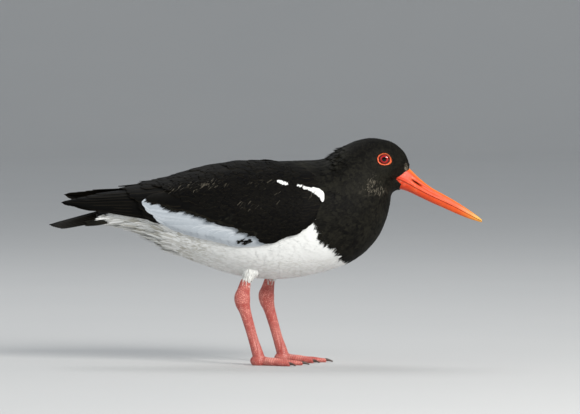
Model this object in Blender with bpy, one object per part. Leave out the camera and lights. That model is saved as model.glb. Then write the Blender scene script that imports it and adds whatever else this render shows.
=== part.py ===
"""Life-size model of a standing Eurasian oystercatcher, facing +X with its feet on z = 0.

Sizes are in millimetres along X (towards the bill), Y (the bird's left) and Z (up),
and MM makes metres of them.
"""

import math
import random

import bmesh
import bpy
import numpy as np
from mathutils import Vector

MM = 0.001
GAP = 0.3
RIGHT, LEFT = -1, 1
SIDE_NAMES = {RIGHT: "right", LEFT: "left"}

# Body: back x, back z, belly x, belly z and half width of each section, from the rump to the face
BODY_SECTIONS = [
    (-150.0, 135.5, -150.0, 126.0, 9.5),
    (-138.0, 139.5, -139.0, 123.0, 15.0),
    (-120.0, 146.0, -121.0, 118.4, 21.0),
    (-100.0, 153.0, -103.0, 111.0, 28.0),
    (-78.0, 160.5, -84.0, 98.6, 35.0),
    (-50.0, 168.5, -56.0, 87.4, 41.0),
    (-20.0, 175.0, -24.0, 77.7, 44.5),
    (8.0, 178.2, 8.0, 74.8, 46.0),
    (30.0, 179.0, 38.0, 78.2, 45.5),
    (44.0, 179.6, 66.0, 85.8, 43.0),
    (53.0, 181.6, 84.0, 96.0, 39.5),
    (60.0, 187.2, 97.5, 110.5, 35.0),
    (69.0, 192.4, 105.0, 126.0, 30.0),
    (80.0, 196.9, 108.0, 139.0, 25.0),
    (91.0, 198.8, 108.8, 148.0, 20.8),
    (101.5, 197.6, 111.5, 152.0, 18.0),
    (111.0, 194.6, 114.5, 153.0, 14.2),
    (120.4, 186.6, 117.5, 153.6, 10.2),
    (125.0, 176.6, 120.5, 154.3, 7.5),
]
BODY_FULLNESS = 0.92
RINGS_PER_SECTION = 2.3
RING_SIDES = 24
TAIL_CUT, NECK_CUT, HEAD_CUT = 1.6, 10.4, 13.7

# Face: the feather line runs from the culmen back to the gape and forward again to the chin
CULMEN_LINE, GAPE, CHIN_LINE = (130.0, 174.6), (114.3, 163.2), (118.6, 150.0)
FACE_REACH_X, FACE_REACH = 240.0, 60.0

# Bill: x, culmen z, mouth z, keel z and half width
BILL_SECTIONS = [
    (110.0, 179.0, 164.9, 154.6, 7.6),
    (118.0, 176.0, 161.6, 153.6, 7.3),
    (125.0, 172.3, 158.2, 151.4, 6.5),
    (133.8, 163.9, 153.3, 147.2, 5.5),
    (144.3, 155.6, 148.0, 142.2, 4.6),
    (155.1, 149.5, 143.0, 137.5, 3.8),
    (165.9, 143.3, 137.9, 132.7, 3.1),
    (176.5, 136.5, 132.2, 128.4, 2.3),
    (184.8, 130.6, 127.9, 125.8, 1.5),
    (189.2, 126.9, 125.7, 124.6, 0.8),
]
BILL_RINGS = 15
# Share of the half width and of the height of each half's outline, from the mouth to the middle plane
UPPER_OUTLINE = [(1.0, 0.0), (0.99, 0.2), (0.82, 0.48), (0.66, 0.72), (0.34, 0.94), (0.0, 1.0)]
LOWER_OUTLINE = [(1.0, 0.0), (0.97, 0.3), (0.78, 0.66), (0.42, 0.93), (0.0, 1.0)]
MOUTH_HALF_GAP = 0.21
NOSTRIL = (131.4, 159.7)
NOSTRIL_LENGTH, NOSTRIL_HEIGHT, NOSTRIL_SLOPE = 9.0, 1.5, math.radians(35)
NOSTRIL_OUT, NOSTRIL_DEPTH = 6.0, 2.4

# Eye
EYE = (102.8, 180.8)
EYE_RADIUS = 5.2
EYE_DEPTH = 3.1
LID_HALF_LENGTH, LID_HALF_HEIGHT, LID_CORNER = 5.9, 5.2, 0.24
LID_CORNER_DIRECTION = math.radians(-32)
LID_LEAN = 0.16
# Eyelid: height over the face and share of its full outline
LID_LAYERS = [(-1.8, 0.93), (-0.2, 1.0), (0.45, 0.96), (0.75, 0.86)]
LID_STEPS = 20

# Folded wings: ridge z, keel z and half width of their outer form, every 30 mm back from x = 60
CLOAK_START, CLOAK_STEP = 60.0, 30.0
CLOAK_SECTIONS = [
    (184.0, 84.0, 44.5),
    (181.2, 76.0, 49.5),
    (181.4, 74.5, 50.5),
    (179.8, 79.0, 49.0),
    (173.8, 89.5, 45.5),
    (165.0, 101.5, 38.5),
    (159.0, 113.5, 29.0),
    (154.2, 124.5, 18.5),
    (150.2, 135.5, 8.0),
]
# Wing outline: x, distance of the upper edge from the middle plane, and z of the lower edge
WING_EDGES = [
    (50.0, 43.0, 143.5),
    (48.0, 38.0, 134.5),
    (41.0, 29.0, 124.0),
    (29.0, 21.0, 115.8),
    (11.0, 15.0, 109.5),
    (-5.0, 12.5, 104.8),
    (-30.0, 9.0, 106.4),
    (-60.0, 3.5, 112.4),
    (-90.0, 1.4, 121.6),
    (-120.0, 1.2, 128.8),
    (-150.0, 1.2, 135.6),
    (-165.0, 1.2, 140.8),
    (-179.0, 1.2, 145.4),
]
WING_ROWS, WING_COLUMNS = 18, 9
WING_BASE_END = 0.79
WING_DEPTH_FRONT, WING_DEPTH_REAR = 9.0, 4.6
WING_THINS_FROM, WING_THINS_OVER = 10.0, 90.0
WING_SKIN, WING_FRONT_PRESS, WING_EDGE_PRESS = 0.4, 3.4, 0.8
WING_FRONT_ROWS = 3
# All of the wing draws in to the body near its lower edge
LOWER_DRAW_IN, LOWER_DRAW_START, LOWER_DRAW_RUN = 2.2, math.radians(10), math.radians(15)
# The base of the wing sinks behind a line, so that vanes lie in it: its turns in degrees, and x at each
SINK_TURNS = [0, 22, 35, 45, 52, 60, 70, 88, 99, 107, 130]
SINK_PLACES = [-64, -55, -13, 20, -10, -66, -70, -40, -10, 14, 40]
SINK_DEPTH, SINK_RUN = 2.1, 10.0
SINK_EDGE, SINK_AT_EDGE = math.radians(12), 0.3
TIP_RISE = {RIGHT: -3.4, LEFT: 3.0}
TIP_RISE_START, TIP_RISE_END = -100.0, -179.0

# Vanes: share along the vane, then shares of its full width and thickness
LONG_VANE = [(0.0, 0.3, 1.0), (0.3, 0.85, 1.0), (0.62, 1.0, 1.0), (0.87, 0.76, 0.9), (1.0, 0.16, 0.6)]
SHORT_VANE = [(0.0, 0.45, 1.0), (0.45, 1.0, 1.0), (0.76, 0.93, 1.0), (0.93, 0.6, 0.9), (1.0, 0.2, 0.6)]
VANE_THICKNESS, VANE_STEP, LEAST_PITCH = 0.6, 0.46, 4.0
# Tiers of the wing: count, width, height of root and of tip over the wing's outer form, and vane profile
TIERS = {
    "primaries": (6, 9.5, -3.4, -0.5, LONG_VANE),
    "secondaries": (7, 13.0, -3.4, -0.4, LONG_VANE),
    "greater_coverts": (7, 12.5, -3.2, 0.1, SHORT_VANE),
    "median_coverts": (7, 13.5, -1.7, 0.5, SHORT_VANE),
    "scapulars": (6, 15.0, -2.2, 0.3, SHORT_VANE),
    "upper_scapulars": (4, 14.0, -2.4, -0.3, SHORT_VANE),
}
# Root and tip (x and turn in degrees) of the lowest, the middle and the highest vane of each tier
TIER_LINES = {
    "primaries": [(-92, 98, -170, 80), (-92, 68, -180, 58), (-90, 38, -152, 24)],
    "secondaries": [(-44, 98, -102, 103), (-42, 62, -115, 66), (-44, 18, -130, 15)],
    "greater_coverts": [(10, 98, -26, 112), (-24, 89, -62, 104), (-56, 71, -101, 87)],
    "median_coverts": [(22, 93, -12, 107), (-20, 78, -54, 93), (-60, 58, -96, 72)],
    "scapulars": [(34, 39, 4, 50), (0, 30, -38, 43), (-42, 19, -80, 29)],
    "upper_scapulars": [(10, 25, -22, 35), (-12, 20, -46, 29), (-34, 15, -70, 20)],
}
TIP_WANDER_X, TIP_WANDER_TURN = 1.6, 1.2
MIDDLE_CLEARANCE = 0.5

# Tail: root and tip (x, distance from the middle plane, z) of the central and the outermost feather of a side
RECTRIX_COUNT, RECTRIX_WIDTH, RECTRIX_THICKNESS = 6, 9.5, 0.65
CENTRAL_RECTRIX = (-130.0, 2.0, 139.5, -191.0, 2.6, 122.6)
OUTER_RECTRIX = (-130.0, 6.5, 129.5, -180.5, 16.0, 120.4)
RECTRIX_ROOF = math.radians(10)
TAIL_ROUNDING, RECTRIX_STRAY = 1.6, 0.9
TAIL_VANE = [(0.0, 0.4, 1.0), (0.45, 0.95, 1.0), (0.86, 0.85, 0.9), (1.0, 0.24, 0.6)]

# Legs: x, z, half depth and half width down from inside the belly, and where each stands
THIGH_CUT_HEIGHT, ANKLE_HEIGHT = 71.6, 58.0
LEG_SPREAD = {RIGHT: 21.0, LEFT: 21.0}
LEG_SHIFT = {RIGHT: 0.0, LEFT: 21.0}
THIGH_SECTIONS = [
    (-10.0, 92.0, 8.0, 5.6),
    (-13.5, 84.0, 8.0, 6.0),
    (-16.6, 77.5, 5.9, 5.1),
    (-18.4, 73.0, 4.6, 4.3),
    (-19.4, 69.0, 4.4, 4.1),
]
LEG_SECTIONS = [
    (-18.4, 75.0, 4.2, 3.9),
    (-20.4, 65.5, 5.8, 4.4),
    (-21.6, 60.0, 7.0, 5.0),
    (-21.2, 54.5, 6.6, 4.8),
    (-19.0, 47.0, 5.1, 3.7),
    (-15.2, 34.0, 4.5, 3.2),
    (-11.8, 22.0, 4.4, 3.2),
    (-8.8, 12.5, 4.9, 4.3),
    (-7.0, 6.5, 5.2, 4.9),
]
FOOT_CUT_HEIGHT = 11.0
UPRIGHT_WIDTH = (0, 1, 0)
FOOT_CENTRE_X = -6.4
PAD_BACK, PAD_HEIGHT, PAD_RADII = 1.0, 4.0, (7.4, 6.0, 5.4)
TOES = {"inner": (30.0, 27.0), "middle": (38.0, 0.0), "outer": (31.0, -30.0)}
TOE_SECTIONS = [
    (-0.12, 4.6, 4.4, 4.2),
    (0.05, 4.2, 4.1, 3.9),
    (0.22, 3.4, 3.5, 3.1),
    (0.36, 3.2, 3.4, 3.4),
    (0.52, 2.6, 2.8, 2.7),
    (0.66, 2.5, 2.7, 3.0),
    (0.84, 2.0, 2.2, 2.2),
    (0.96, 1.7, 1.9, 1.8),
    (1.0, 1.5, 1.5, 1.0),
]
CLAW_SECTIONS = [(-3.5, 2.2, 1.3, 1.2), (0.0, 2.3, 1.3, 1.1), (3.0, 1.7, 0.9, 0.8), (5.6, 0.8, 0.5, 0.4)]
WEB_REACH, WEB_BOTTOM, WEB_TOP = {"inner": 0.2, "outer": 0.34}, 0.8, 2.4

MATERIALS = {
    "black_plumage": ((0.022, 0.020, 0.018, 1), 0.62),
    "white_plumage": ((0.82, 0.81, 0.77, 1), 0.75),
    "bill": ((0.80, 0.13, 0.035, 1), 0.38),
    "eye": ((0.40, 0.012, 0.012, 1), 0.08),
    "eyelid": ((0.86, 0.13, 0.03, 1), 0.45),
    "leg": ((0.66, 0.21, 0.19, 1), 0.55),
}


def material(name):
    """The named finish, made once."""
    found = bpy.data.materials.get(name)
    if found:
        return found
    colour, roughness = MATERIALS[name]
    made = bpy.data.materials.new(name)
    made.use_nodes = True
    made.diffuse_color = colour
    shader = made.node_tree.nodes["Principled BSDF"]
    shader.inputs["Base Color"].default_value = colour
    shader.inputs["Roughness"].default_value = roughness
    shader.inputs["Metallic"].default_value = 0.0
    return made


def curve_through(rows, places):
    """Values at the places, from 0 to len(rows) - 1, of a smooth curve through the rows."""
    rows = np.asarray(rows, float)
    padded = np.vstack([2 * rows[0] - rows[1], rows, 2 * rows[-1] - rows[-2]])
    places = np.clip(np.atleast_1d(np.asarray(places, float)), 0, len(rows) - 1 - 1e-9)
    start = places.astype(int)
    t = (places - start)[:, None]
    before, here, after, beyond = (padded[start + k] for k in range(4))
    bend = 2 * before - 5 * here + 4 * after - beyond
    twist = 3 * here - before - 3 * after + beyond
    return here + 0.5 * t * (after - before + t * (bend + t * twist))


def add_object(name, form, finish, sharp_degrees=40):
    """A named, smooth-shaded object from a bmesh in millimetres."""
    bmesh.ops.recalc_face_normals(form, faces=form.faces)
    for vertex in form.verts:
        vertex.co *= MM
    mesh = bpy.data.meshes.new(name)
    form.to_mesh(mesh)
    form.free()
    mesh.shade_smooth()
    mesh.set_sharp_from_angle(angle=math.radians(sharp_degrees))
    mesh.materials.append(material(finish))
    made = bpy.data.objects.new(name, mesh)
    bpy.context.scene.collection.objects.link(made)
    return made


def loft(rings):
    """A closed form through rings of points, each with as many points, and a flat cap at both ends."""
    form = bmesh.new()
    loops = [[form.verts.new(point) for point in ring] for ring in rings]
    for near, far in zip(loops, loops[1:]):
        for i in range(len(near)):
            j = (i + 1) % len(near)
            form.faces.new((near[i], near[j], far[j], far[i]))
    form.faces.new(loops[0])
    form.faces.new(loops[-1])
    return form


def keep_side(form, point, normal):
    """Cuts the form by a plane, keeps the side that the normal points to, and closes the cut."""
    geometry = form.verts[:] + form.edges[:] + form.faces[:]
    bmesh.ops.bisect_plane(form, geom=geometry, plane_co=point, plane_no=normal, clear_inner=True)
    rim = [edge for edge in form.edges if edge.is_boundary]
    bmesh.ops.holes_fill(form, edges=rim, sides=0)


def keep_above(form, height):
    keep_side(form, Vector((0, 0, height + GAP / 2)), Vector((0, 0, 1)))


def keep_below(form, height):
    keep_side(form, Vector((0, 0, height - GAP / 2)), Vector((0, 0, -1)))


def keep_largest(made):
    """Leaves only the largest closed surface of an object."""
    form = bmesh.new()
    form.from_mesh(made.data)
    left = set(form.verts)
    islands = []
    while left:
        island, edge_of_search = set(), [left.pop()]
        while edge_of_search:
            vertex = edge_of_search.pop()
            island.add(vertex)
            for edge in vertex.link_edges:
                other = edge.other_vert(vertex)
                if other in left:
                    left.remove(other)
                    edge_of_search.append(other)
        islands.append(island)
    islands.sort(key=lambda found: box_size(found), reverse=True)
    for island in islands[1:]:
        bmesh.ops.delete(form, geom=list(island), context="VERTS")
    form.to_mesh(made.data)
    form.free()


def box_size(vertices):
    places = np.array([vertex.co for vertex in vertices])
    return float(np.prod(np.ptp(places, axis=0) + MM))


def combine(made, tools, operation, solver="EXACT"):
    """Joins or cuts an object with the tools, which are then removed."""
    group = bpy.data.collections.new("tools")
    bpy.context.scene.collection.children.link(group)
    for tool in tools:
        group.objects.link(tool)
    boolean = made.modifiers.new("combine", "BOOLEAN")
    boolean.operation = operation
    boolean.operand_type = "COLLECTION"
    boolean.collection = group
    boolean.solver = solver
    graph = bpy.context.evaluated_depsgraph_get()
    result = bpy.data.meshes.new_from_object(made.evaluated_get(graph))
    made.modifiers.clear()
    made.data = result
    for tool in tools:
        bpy.data.objects.remove(tool)
    bpy.data.collections.remove(group)
    keep_largest(made)
    return made


def swollen(made, by=GAP):
    """A copy of an object, grown along its normals, to cut a clearance with."""
    form = bmesh.new()
    form.from_mesh(made.data)
    form.normal_update()
    for vertex, normal in [(v, v.normal.copy()) for v in form.verts]:
        vertex.co += normal * by * MM
    mesh = bpy.data.meshes.new("swollen")
    form.to_mesh(mesh)
    form.free()
    grown = bpy.data.objects.new("swollen", mesh)
    bpy.context.scene.collection.objects.link(grown)
    return grown


def body_ring(place, sides=RING_SIDES):
    """The ring of points of the body's section at a place along BODY_SECTIONS."""
    back_x, back_z, belly_x, belly_z, half_width = curve_through(BODY_SECTIONS, place)[0]
    points = []
    for k in range(sides):
        turn = 2 * math.pi * k / sides
        rise = (1 + math.cos(turn)) / 2
        out = half_width * abs(math.sin(turn)) ** BODY_FULLNESS * (1 if turn <= math.pi else -1)
        points.append((belly_x + (back_x - belly_x) * rise, out, belly_z + (back_z - belly_z) * rise))
    return points


def body_form():
    last = len(BODY_SECTIONS) - 1
    count = int(last * RINGS_PER_SECTION) + 1
    return loft([body_ring(last * k / (count - 1)) for k in range(count)])


def body_plane(place):
    """The point and forward normal of the section plane at a place along the body."""
    back_x, back_z, belly_x, belly_z, _ = curve_through(BODY_SECTIONS, place)[0]
    along = Vector((back_x - belly_x, 0, back_z - belly_z)).normalized()
    normal = along.cross(Vector((0, 1, 0)))
    if normal.x < 0:
        normal.negate()
    return Vector(((back_x + belly_x) / 2, 0, (back_z + belly_z) / 2)), normal


def body_piece(name, finish, behind=None, ahead=None):
    """The part of the body between two section planes, less half a gap at each."""
    form = body_form()
    if behind is not None:
        point, normal = body_plane(behind)
        keep_side(form, point + normal * GAP / 2, normal)
    if ahead is not None:
        point, normal = body_plane(ahead)
        keep_side(form, point - normal * GAP / 2, -normal)
    return add_object(name, form, finish)


def prism(outline, half_width):
    """A closed form with an outline in the XZ plane, run out to half_width on both sides."""
    return loft([[(x, y, z) for x, z in outline] for y in (-half_width, half_width)])


def face_region(forward):
    """The wedge in front of the feather line, moved forward."""
    culmen, gape, chin = (Vector((x + forward, z)) for x, z in (CULMEN_LINE, GAPE, CHIN_LINE))
    below, above = (FACE_REACH_X, chin[1] - FACE_REACH), (FACE_REACH_X, culmen[1] + FACE_REACH)
    return prism([culmen, gape, chin, below, above], FACE_REACH)


def bill_half(upper):
    """The upper or the lower half of the bill, closed along the mouth line."""
    rings = []
    last = len(BILL_SECTIONS) - 1
    outline = UPPER_OUTLINE if upper else LOWER_OUTLINE
    for k in range(BILL_RINGS):
        x, culmen, mouth, keel, half_width = curve_through(BILL_SECTIONS, last * k / (BILL_RINGS - 1))[0]
        edge = mouth + (MOUTH_HALF_GAP if upper else -MOUTH_HALF_GAP)
        far = culmen if upper else keel
        ring = [(x, half_width * out, edge + (far - edge) * rise) for out, rise in outline]
        ring += [(x, -y, z) for x, y, z in reversed(ring[:-1])]
        rings.append(ring)
    return loft(rings)


def ball(centre, radii, finish, name, turn=0.0, segments=14, rings=8):
    """An ellipsoid, turned about Y."""
    form = bmesh.new()
    bmesh.ops.create_uvsphere(form, u_segments=segments, v_segments=rings, radius=1.0)
    for vertex in form.verts:
        x, y, z = (c * r for c, r in zip(vertex.co, radii))
        across = x * math.cos(turn) + z * math.sin(turn)
        up = z * math.cos(turn) - x * math.sin(turn)
        vertex.co = Vector((centre[0] + across, centre[1] + y, centre[2] + up))
    return add_object(name, form, finish)


def head_half_width(x, z):
    """The half width of the head at a point of its side view."""
    best, found = 1e9, 0.0
    for place in np.linspace(HEAD_CUT, len(BODY_SECTIONS) - 1, 120):
        back_x, back_z, belly_x, belly_z, half_width = curve_through(BODY_SECTIONS, place)[0]
        rise = (z - belly_z) / (back_z - belly_z)
        miss = abs(belly_x + (back_x - belly_x) * rise - x)
        if miss < best and 0 < rise < 1:
            best = miss
            found = half_width * math.sin(math.acos(2 * rise - 1)) ** BODY_FULLNESS
    return found


def eyelid_form(side):
    """The fleshy rim round the eye, drawn out to a corner at its lower front."""
    level = head_half_width(*EYE)
    rings = []
    for lift, share in LID_LAYERS:
        ring = []
        for k in range(LID_STEPS):
            turn = 2 * math.pi * k / LID_STEPS
            reach = share * (1 + LID_CORNER * max(0.0, math.cos(turn - LID_CORNER_DIRECTION)) ** 8)
            x, z = LID_HALF_LENGTH * reach * math.cos(turn), LID_HALF_HEIGHT * reach * math.sin(turn)
            ring.append((EYE[0] + x, side * (level + lift - LID_LEAN * x), EYE[1] + z))
        rings.append(ring)
    return loft(rings)


def make_head():
    """Head, bill, eyes and eyelids, each cut clear of the others."""
    head = body_piece("head", "black_plumage", behind=HEAD_CUT)
    combine(head, [add_object("face", face_region(0.0), "bill")], "DIFFERENCE")
    for upper, name in ((True, "bill_upper"), (False, "bill_lower")):
        half = add_object(name, bill_half(upper), "bill")
        combine(half, [add_object("face", face_region(GAP), "bill")], "INTERSECT")
        if upper:
            radii = (NOSTRIL_LENGTH / 2, NOSTRIL_DEPTH, NOSTRIL_HEIGHT / 2)
            nostrils = []
            for side in SIDE_NAMES:
                centre = (NOSTRIL[0], side * NOSTRIL_OUT, NOSTRIL[1])
                nostrils.append(ball(centre, radii, "bill", "nostril", NOSTRIL_SLOPE, 10, 6))
            combine(half, nostrils, "DIFFERENCE")
    eye_level = head_half_width(*EYE) - EYE_DEPTH
    for side, name in SIDE_NAMES.items():
        eye = ball((EYE[0], side * eye_level, EYE[1]), (EYE_RADIUS,) * 3, "eye", f"eye_{name}")
        lid = add_object(f"eyelid_{name}", eyelid_form(side), "eyelid")
        combine(head, [swollen(eye), swollen(lid)], "DIFFERENCE", "MANIFOLD")
        combine(lid, [swollen(eye)], "DIFFERENCE")


def cloak_frame(x):
    """Ridge z, keel z and half width of the folded wings' outer form at x."""
    return curve_through(CLOAK_SECTIONS, (CLOAK_START - np.asarray(x, float)) / CLOAK_STEP).T


def cloak_point(x, turn, side):
    """The point at x, turn radians down from the ridge, on the folded wings' outer form."""
    ridge, keel, half_width = cloak_frame(x)
    middle, half_height = (ridge + keel) / 2, (ridge - keel) / 2
    rearward = max(0.0, (TIP_RISE_START - x) / (TIP_RISE_START - TIP_RISE_END))
    height = (middle + half_height * math.cos(turn))[0] + TIP_RISE[side] * rearward**1.5
    return np.array([x, side * half_width[0] * math.sin(turn), height])


def lower_turn(x):
    """The turn of the folded wing's lower edge at x."""
    places, _, lows = zip(*reversed(WING_EDGES))
    ridge, keel, _ = (value[0] for value in cloak_frame(x))
    rise = (np.interp(x, places, lows) - (ridge + keel) / 2) / ((ridge - keel) / 2)
    return math.acos(min(1.0, max(-1.0, rise)))


def cloak_raised(x, turn, side, height):
    """That point, raised along the surface's outward normal and drawn in near the wing's lower edge."""
    step = 0.02
    here = cloak_point(x, turn, side)
    along = cloak_point(x + 1.0, turn, side) - here
    down = cloak_point(x, turn + step, side) - here
    share = (turn - lower_turn(x) + LOWER_DRAW_START) / LOWER_DRAW_RUN
    share = min(1.0, max(0.0, share))
    return here + unit(np.cross(along, down)) * side * (height - LOWER_DRAW_IN * share * share)


def wing_edge(place):
    """x, and the turns of the upper and the lower edge, of the folded wing."""
    x, out, low = curve_through(WING_EDGES, place)[0]
    ridge, keel, half_width = (value[0] for value in cloak_frame(x))
    middle, half_height = (ridge + keel) / 2, (ridge - keel) / 2
    return x, math.asin(min(1.0, out / half_width)), math.acos(max(-1.0, (low - middle) / half_height))


def sunk(x, turn):
    """How far the wing's base lies under its outer form, to take the vanes."""
    line = np.interp(math.degrees(turn), SINK_TURNS, SINK_PLACES)
    share = min(1.0, max(0.0, (line - x) / SINK_RUN))
    from_edge = min(1.0, max(0.0, (lower_turn(x) - turn) / SINK_EDGE))
    return SINK_DEPTH * share * share * (3 - 2 * share) * (SINK_AT_EDGE + (1 - SINK_AT_EDGE) * from_edge)


def wing_base(side):
    """The folded wing without its vanes, deep enough in front to be cut to the body."""
    outer, inner = [], []
    last = len(WING_EDGES) - 1
    for i in range(WING_ROWS):
        share = WING_BASE_END * i / (WING_ROWS - 1)
        x, upper, lower = wing_edge(last * share)
        rear = min(1.0, max(0.0, (WING_THINS_FROM - x) / WING_THINS_OVER))
        depth = WING_DEPTH_FRONT + (WING_DEPTH_REAR - WING_DEPTH_FRONT) * rear
        front = WING_FRONT_PRESS * max(0.0, 1 - i / WING_FRONT_ROWS) ** 2
        rows = ([], [])
        for j in range(WING_COLUMNS):
            across = j / (WING_COLUMNS - 1)
            turn = upper + (lower - upper) * across
            edge = WING_EDGE_PRESS * abs(2 * across - 1) ** 6
            rows[0].append(cloak_raised(x, turn, side, -WING_SKIN - max(front, edge, sunk(x, turn))))
            rows[1].append(cloak_raised(x, turn, side, -depth))
        outer.append(rows[0])
        inner.append(rows[1])
    return plate(outer, inner)


def plate(outer, inner):
    """A closed form between two grids of points of the same size, split into triangles alike on both."""
    form = bmesh.new()
    grids = [[[form.verts.new(point) for point in row] for row in grid] for grid in (outer, inner)]
    rows, columns = len(outer), len(outer[0])
    for grid in grids:
        for i in range(rows - 1):
            for j in range(columns - 1):
                form.faces.new((grid[i][j], grid[i][j + 1], grid[i + 1][j + 1]))
                form.faces.new((grid[i][j], grid[i + 1][j + 1], grid[i + 1][j]))
    rim = [(0, j) for j in range(columns)] + [(i, columns - 1) for i in range(1, rows)]
    rim += [(rows - 1, j) for j in range(columns - 2, -1, -1)] + [(i, 0) for i in range(rows - 2, 0, -1)]
    for (i, j), (k, m) in zip(rim, rim[1:] + rim[:1]):
        form.faces.new((grids[0][i][j], grids[0][k][m], grids[1][k][m], grids[1][i][j]))
    return form


def unit(vector):
    return vector / np.linalg.norm(vector)


def tier_lines(rows, count, rng):
    """Root and tip (x, turn) of each vane of a tier, with tips that stray a little."""
    lines = curve_through(rows, np.linspace(0, len(rows) - 1, count))
    lines[:, 2] += [rng.uniform(-TIP_WANDER_X, TIP_WANDER_X) for _ in lines]
    lines[:, 3] += [rng.uniform(-TIP_WANDER_TURN, TIP_WANDER_TURN) for _ in lines]
    lines[:, (1, 3)] = np.radians(lines[:, (1, 3)])
    return lines


def wing_vane(side, line, neighbour, width, root_height, tip_height, profile):
    """A vane along a line on the wing, tilted so that it clears the one that it overlaps."""
    outer, inner = [], []
    for share, broad, thick in profile:
        x, turn = line[:2] + (line[2:] - line[:2]) * share
        beside_x, beside_turn = neighbour[:2] + (neighbour[2:] - neighbour[:2]) * share
        here = cloak_point(x, turn, side)
        along = cloak_point(x + 1.0, turn, side) - here
        down = (cloak_point(x, turn + 0.02, side) - here) / 0.02
        run = unit(along * (line[2] - line[0]) + down * (line[3] - line[1]))
        across = unit(np.cross(np.cross(along, down), run))
        if across @ down < 0:
            across = -across
        pitch = abs((cloak_point(beside_x, beside_turn, side) - here) @ across)
        thickness = VANE_THICKNESS * thick
        slope = VANE_STEP / max(pitch, LEAST_PITCH)
        spread = np.array([[along @ along, along @ down], [along @ down, down @ down]])
        height = root_height + (tip_height - root_height) * share
        rows = ([], [])
        for place in (-1, 0, 1):
            offset = place * broad * width / 2
            step_x, step_turn = np.linalg.solve(spread, np.array([along @ across, down @ across]) * offset)
            step_x, step_turn = x + step_x, max(turn + step_turn, lowest_turn(x + step_x))
            for row, half in zip(rows, (thickness / 2, -thickness / 2)):
                row.append(cloak_raised(step_x, step_turn, side, height + slope * offset + half))
        outer.append(rows[0])
        inner.append(rows[1])
    return plate(outer, inner)


def lowest_turn(x):
    """The turn at which the wing reaches the bird's middle plane."""
    return math.asin(MIDDLE_CLEARANCE / cloak_frame(x)[2][0])


def make_wing(side):
    """The wing's base with its tiers of vanes rooted in it, as one solid."""
    rng = random.Random(SIDE_NAMES[side])
    wing = add_object(f"wing_{SIDE_NAMES[side]}", wing_base(side), "black_plumage")
    vanes = []
    for tier, (count, width, root_height, tip_height, profile) in TIERS.items():
        lines = tier_lines(TIER_LINES[tier], count, rng)
        for k, line in enumerate(lines):
            neighbour = lines[k + 1] if k + 1 < count else lines[k - 1]
            form = wing_vane(side, line, neighbour, width, root_height, tip_height, profile)
            vanes.append(add_object("vane", form, "black_plumage"))
    return combine(wing, vanes, "UNION", "MANIFOLD")


def rectrix(side, place, stray):
    """A tail feather, from the central one (place 0) to the outermost (1) of a side."""
    line = np.array(CENTRAL_RECTRIX) + (np.array(OUTER_RECTRIX) - np.array(CENTRAL_RECTRIX)) * place
    line[3] = CENTRAL_RECTRIX[3] + (OUTER_RECTRIX[3] - CENTRAL_RECTRIX[3]) * place**TAIL_ROUNDING + stray
    line *= np.array([1, side, 1, 1, side, 1])
    root, tip = Vector(line[:3]), Vector(line[3:])
    across = Vector((0, side * math.cos(RECTRIX_ROOF), -math.sin(RECTRIX_ROOF)))
    across = (across - across.project(tip - root)).normalized()
    up = (tip - root).cross(across).normalized()
    if up.z < 0:
        up.negate()
    grids = ([], [])
    for share, broad, thick in TAIL_VANE:
        middle = root.lerp(tip, share)
        half = up * RECTRIX_THICKNESS * thick / 2
        points = [middle + across * RECTRIX_WIDTH / 2 * broad * out for out in (-1, 0, 1)]
        grids[0].append([point + half for point in points])
        grids[1].append([point - half for point in points])
    return plate(*grids)


def make_tail():
    """The rump's end with the twelve tail feathers rooted in it, as one solid."""
    tail = body_piece("tail", "black_plumage", ahead=TAIL_CUT)
    rng = random.Random("tail")
    feathers = []
    for side in SIDE_NAMES:
        for k in range(RECTRIX_COUNT):
            form = rectrix(side, k / (RECTRIX_COUNT - 1), rng.uniform(-RECTRIX_STRAY, RECTRIX_STRAY))
            feathers.append(add_object("rectrix", form, "black_plumage"))
    return combine(tail, feathers, "UNION")


def limb(sections, count, sides, place, across):
    """A round form through (along, height, half depth, half width) sections.

    place(along, height) gives a section's middle, and across the direction of its width."""
    across = Vector(across)
    last = len(sections) - 1
    rows = curve_through(sections, [last * k / (count - 1) for k in range(count)])
    middles = [place(along, height) for along, height, _, _ in rows]
    rings = []
    for k, (_, _, depth, width) in enumerate(rows):
        run = (middles[min(k + 1, count - 1)] - middles[max(k - 1, 0)]).normalized()
        front = across.cross(run).normalized()
        rings.append(
            [
                middles[k] + front * depth * math.cos(turn) + across * width * math.sin(turn)
                for turn in (2 * math.pi * j / sides for j in range(sides))
            ]
        )
    return loft(rings)


def make_leg(side, torso):
    """Feathered thigh, bare leg in two pieces, and foot."""
    name = SIDE_NAMES[side]
    shift, out = LEG_SHIFT[side], side * LEG_SPREAD[side]

    def stand(x, z):
        return Vector((x + shift, out, z))

    form = limb(THIGH_SECTIONS, 6, 12, stand, UPRIGHT_WIDTH)
    keep_above(form, THIGH_CUT_HEIGHT)
    thigh = add_object(f"thigh_{name}", form, "white_plumage")
    combine(thigh, [swollen(torso)], "DIFFERENCE")
    for piece, top, bottom in (
        ("tibia", THIGH_CUT_HEIGHT, ANKLE_HEIGHT),
        ("tarsus", ANKLE_HEIGHT, FOOT_CUT_HEIGHT),
    ):
        form = limb(LEG_SECTIONS, 18, 10, stand, UPRIGHT_WIDTH)
        keep_below(form, top)
        keep_above(form, bottom)
        add_object(f"{piece}_{name}", form, "leg")
    make_foot(side, stand)


def flatten_sole(form):
    """Presses all that would lie under the floor up to it."""
    for vertex in form.verts:
        vertex.co.z = max(0.0, vertex.co.z)


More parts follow.
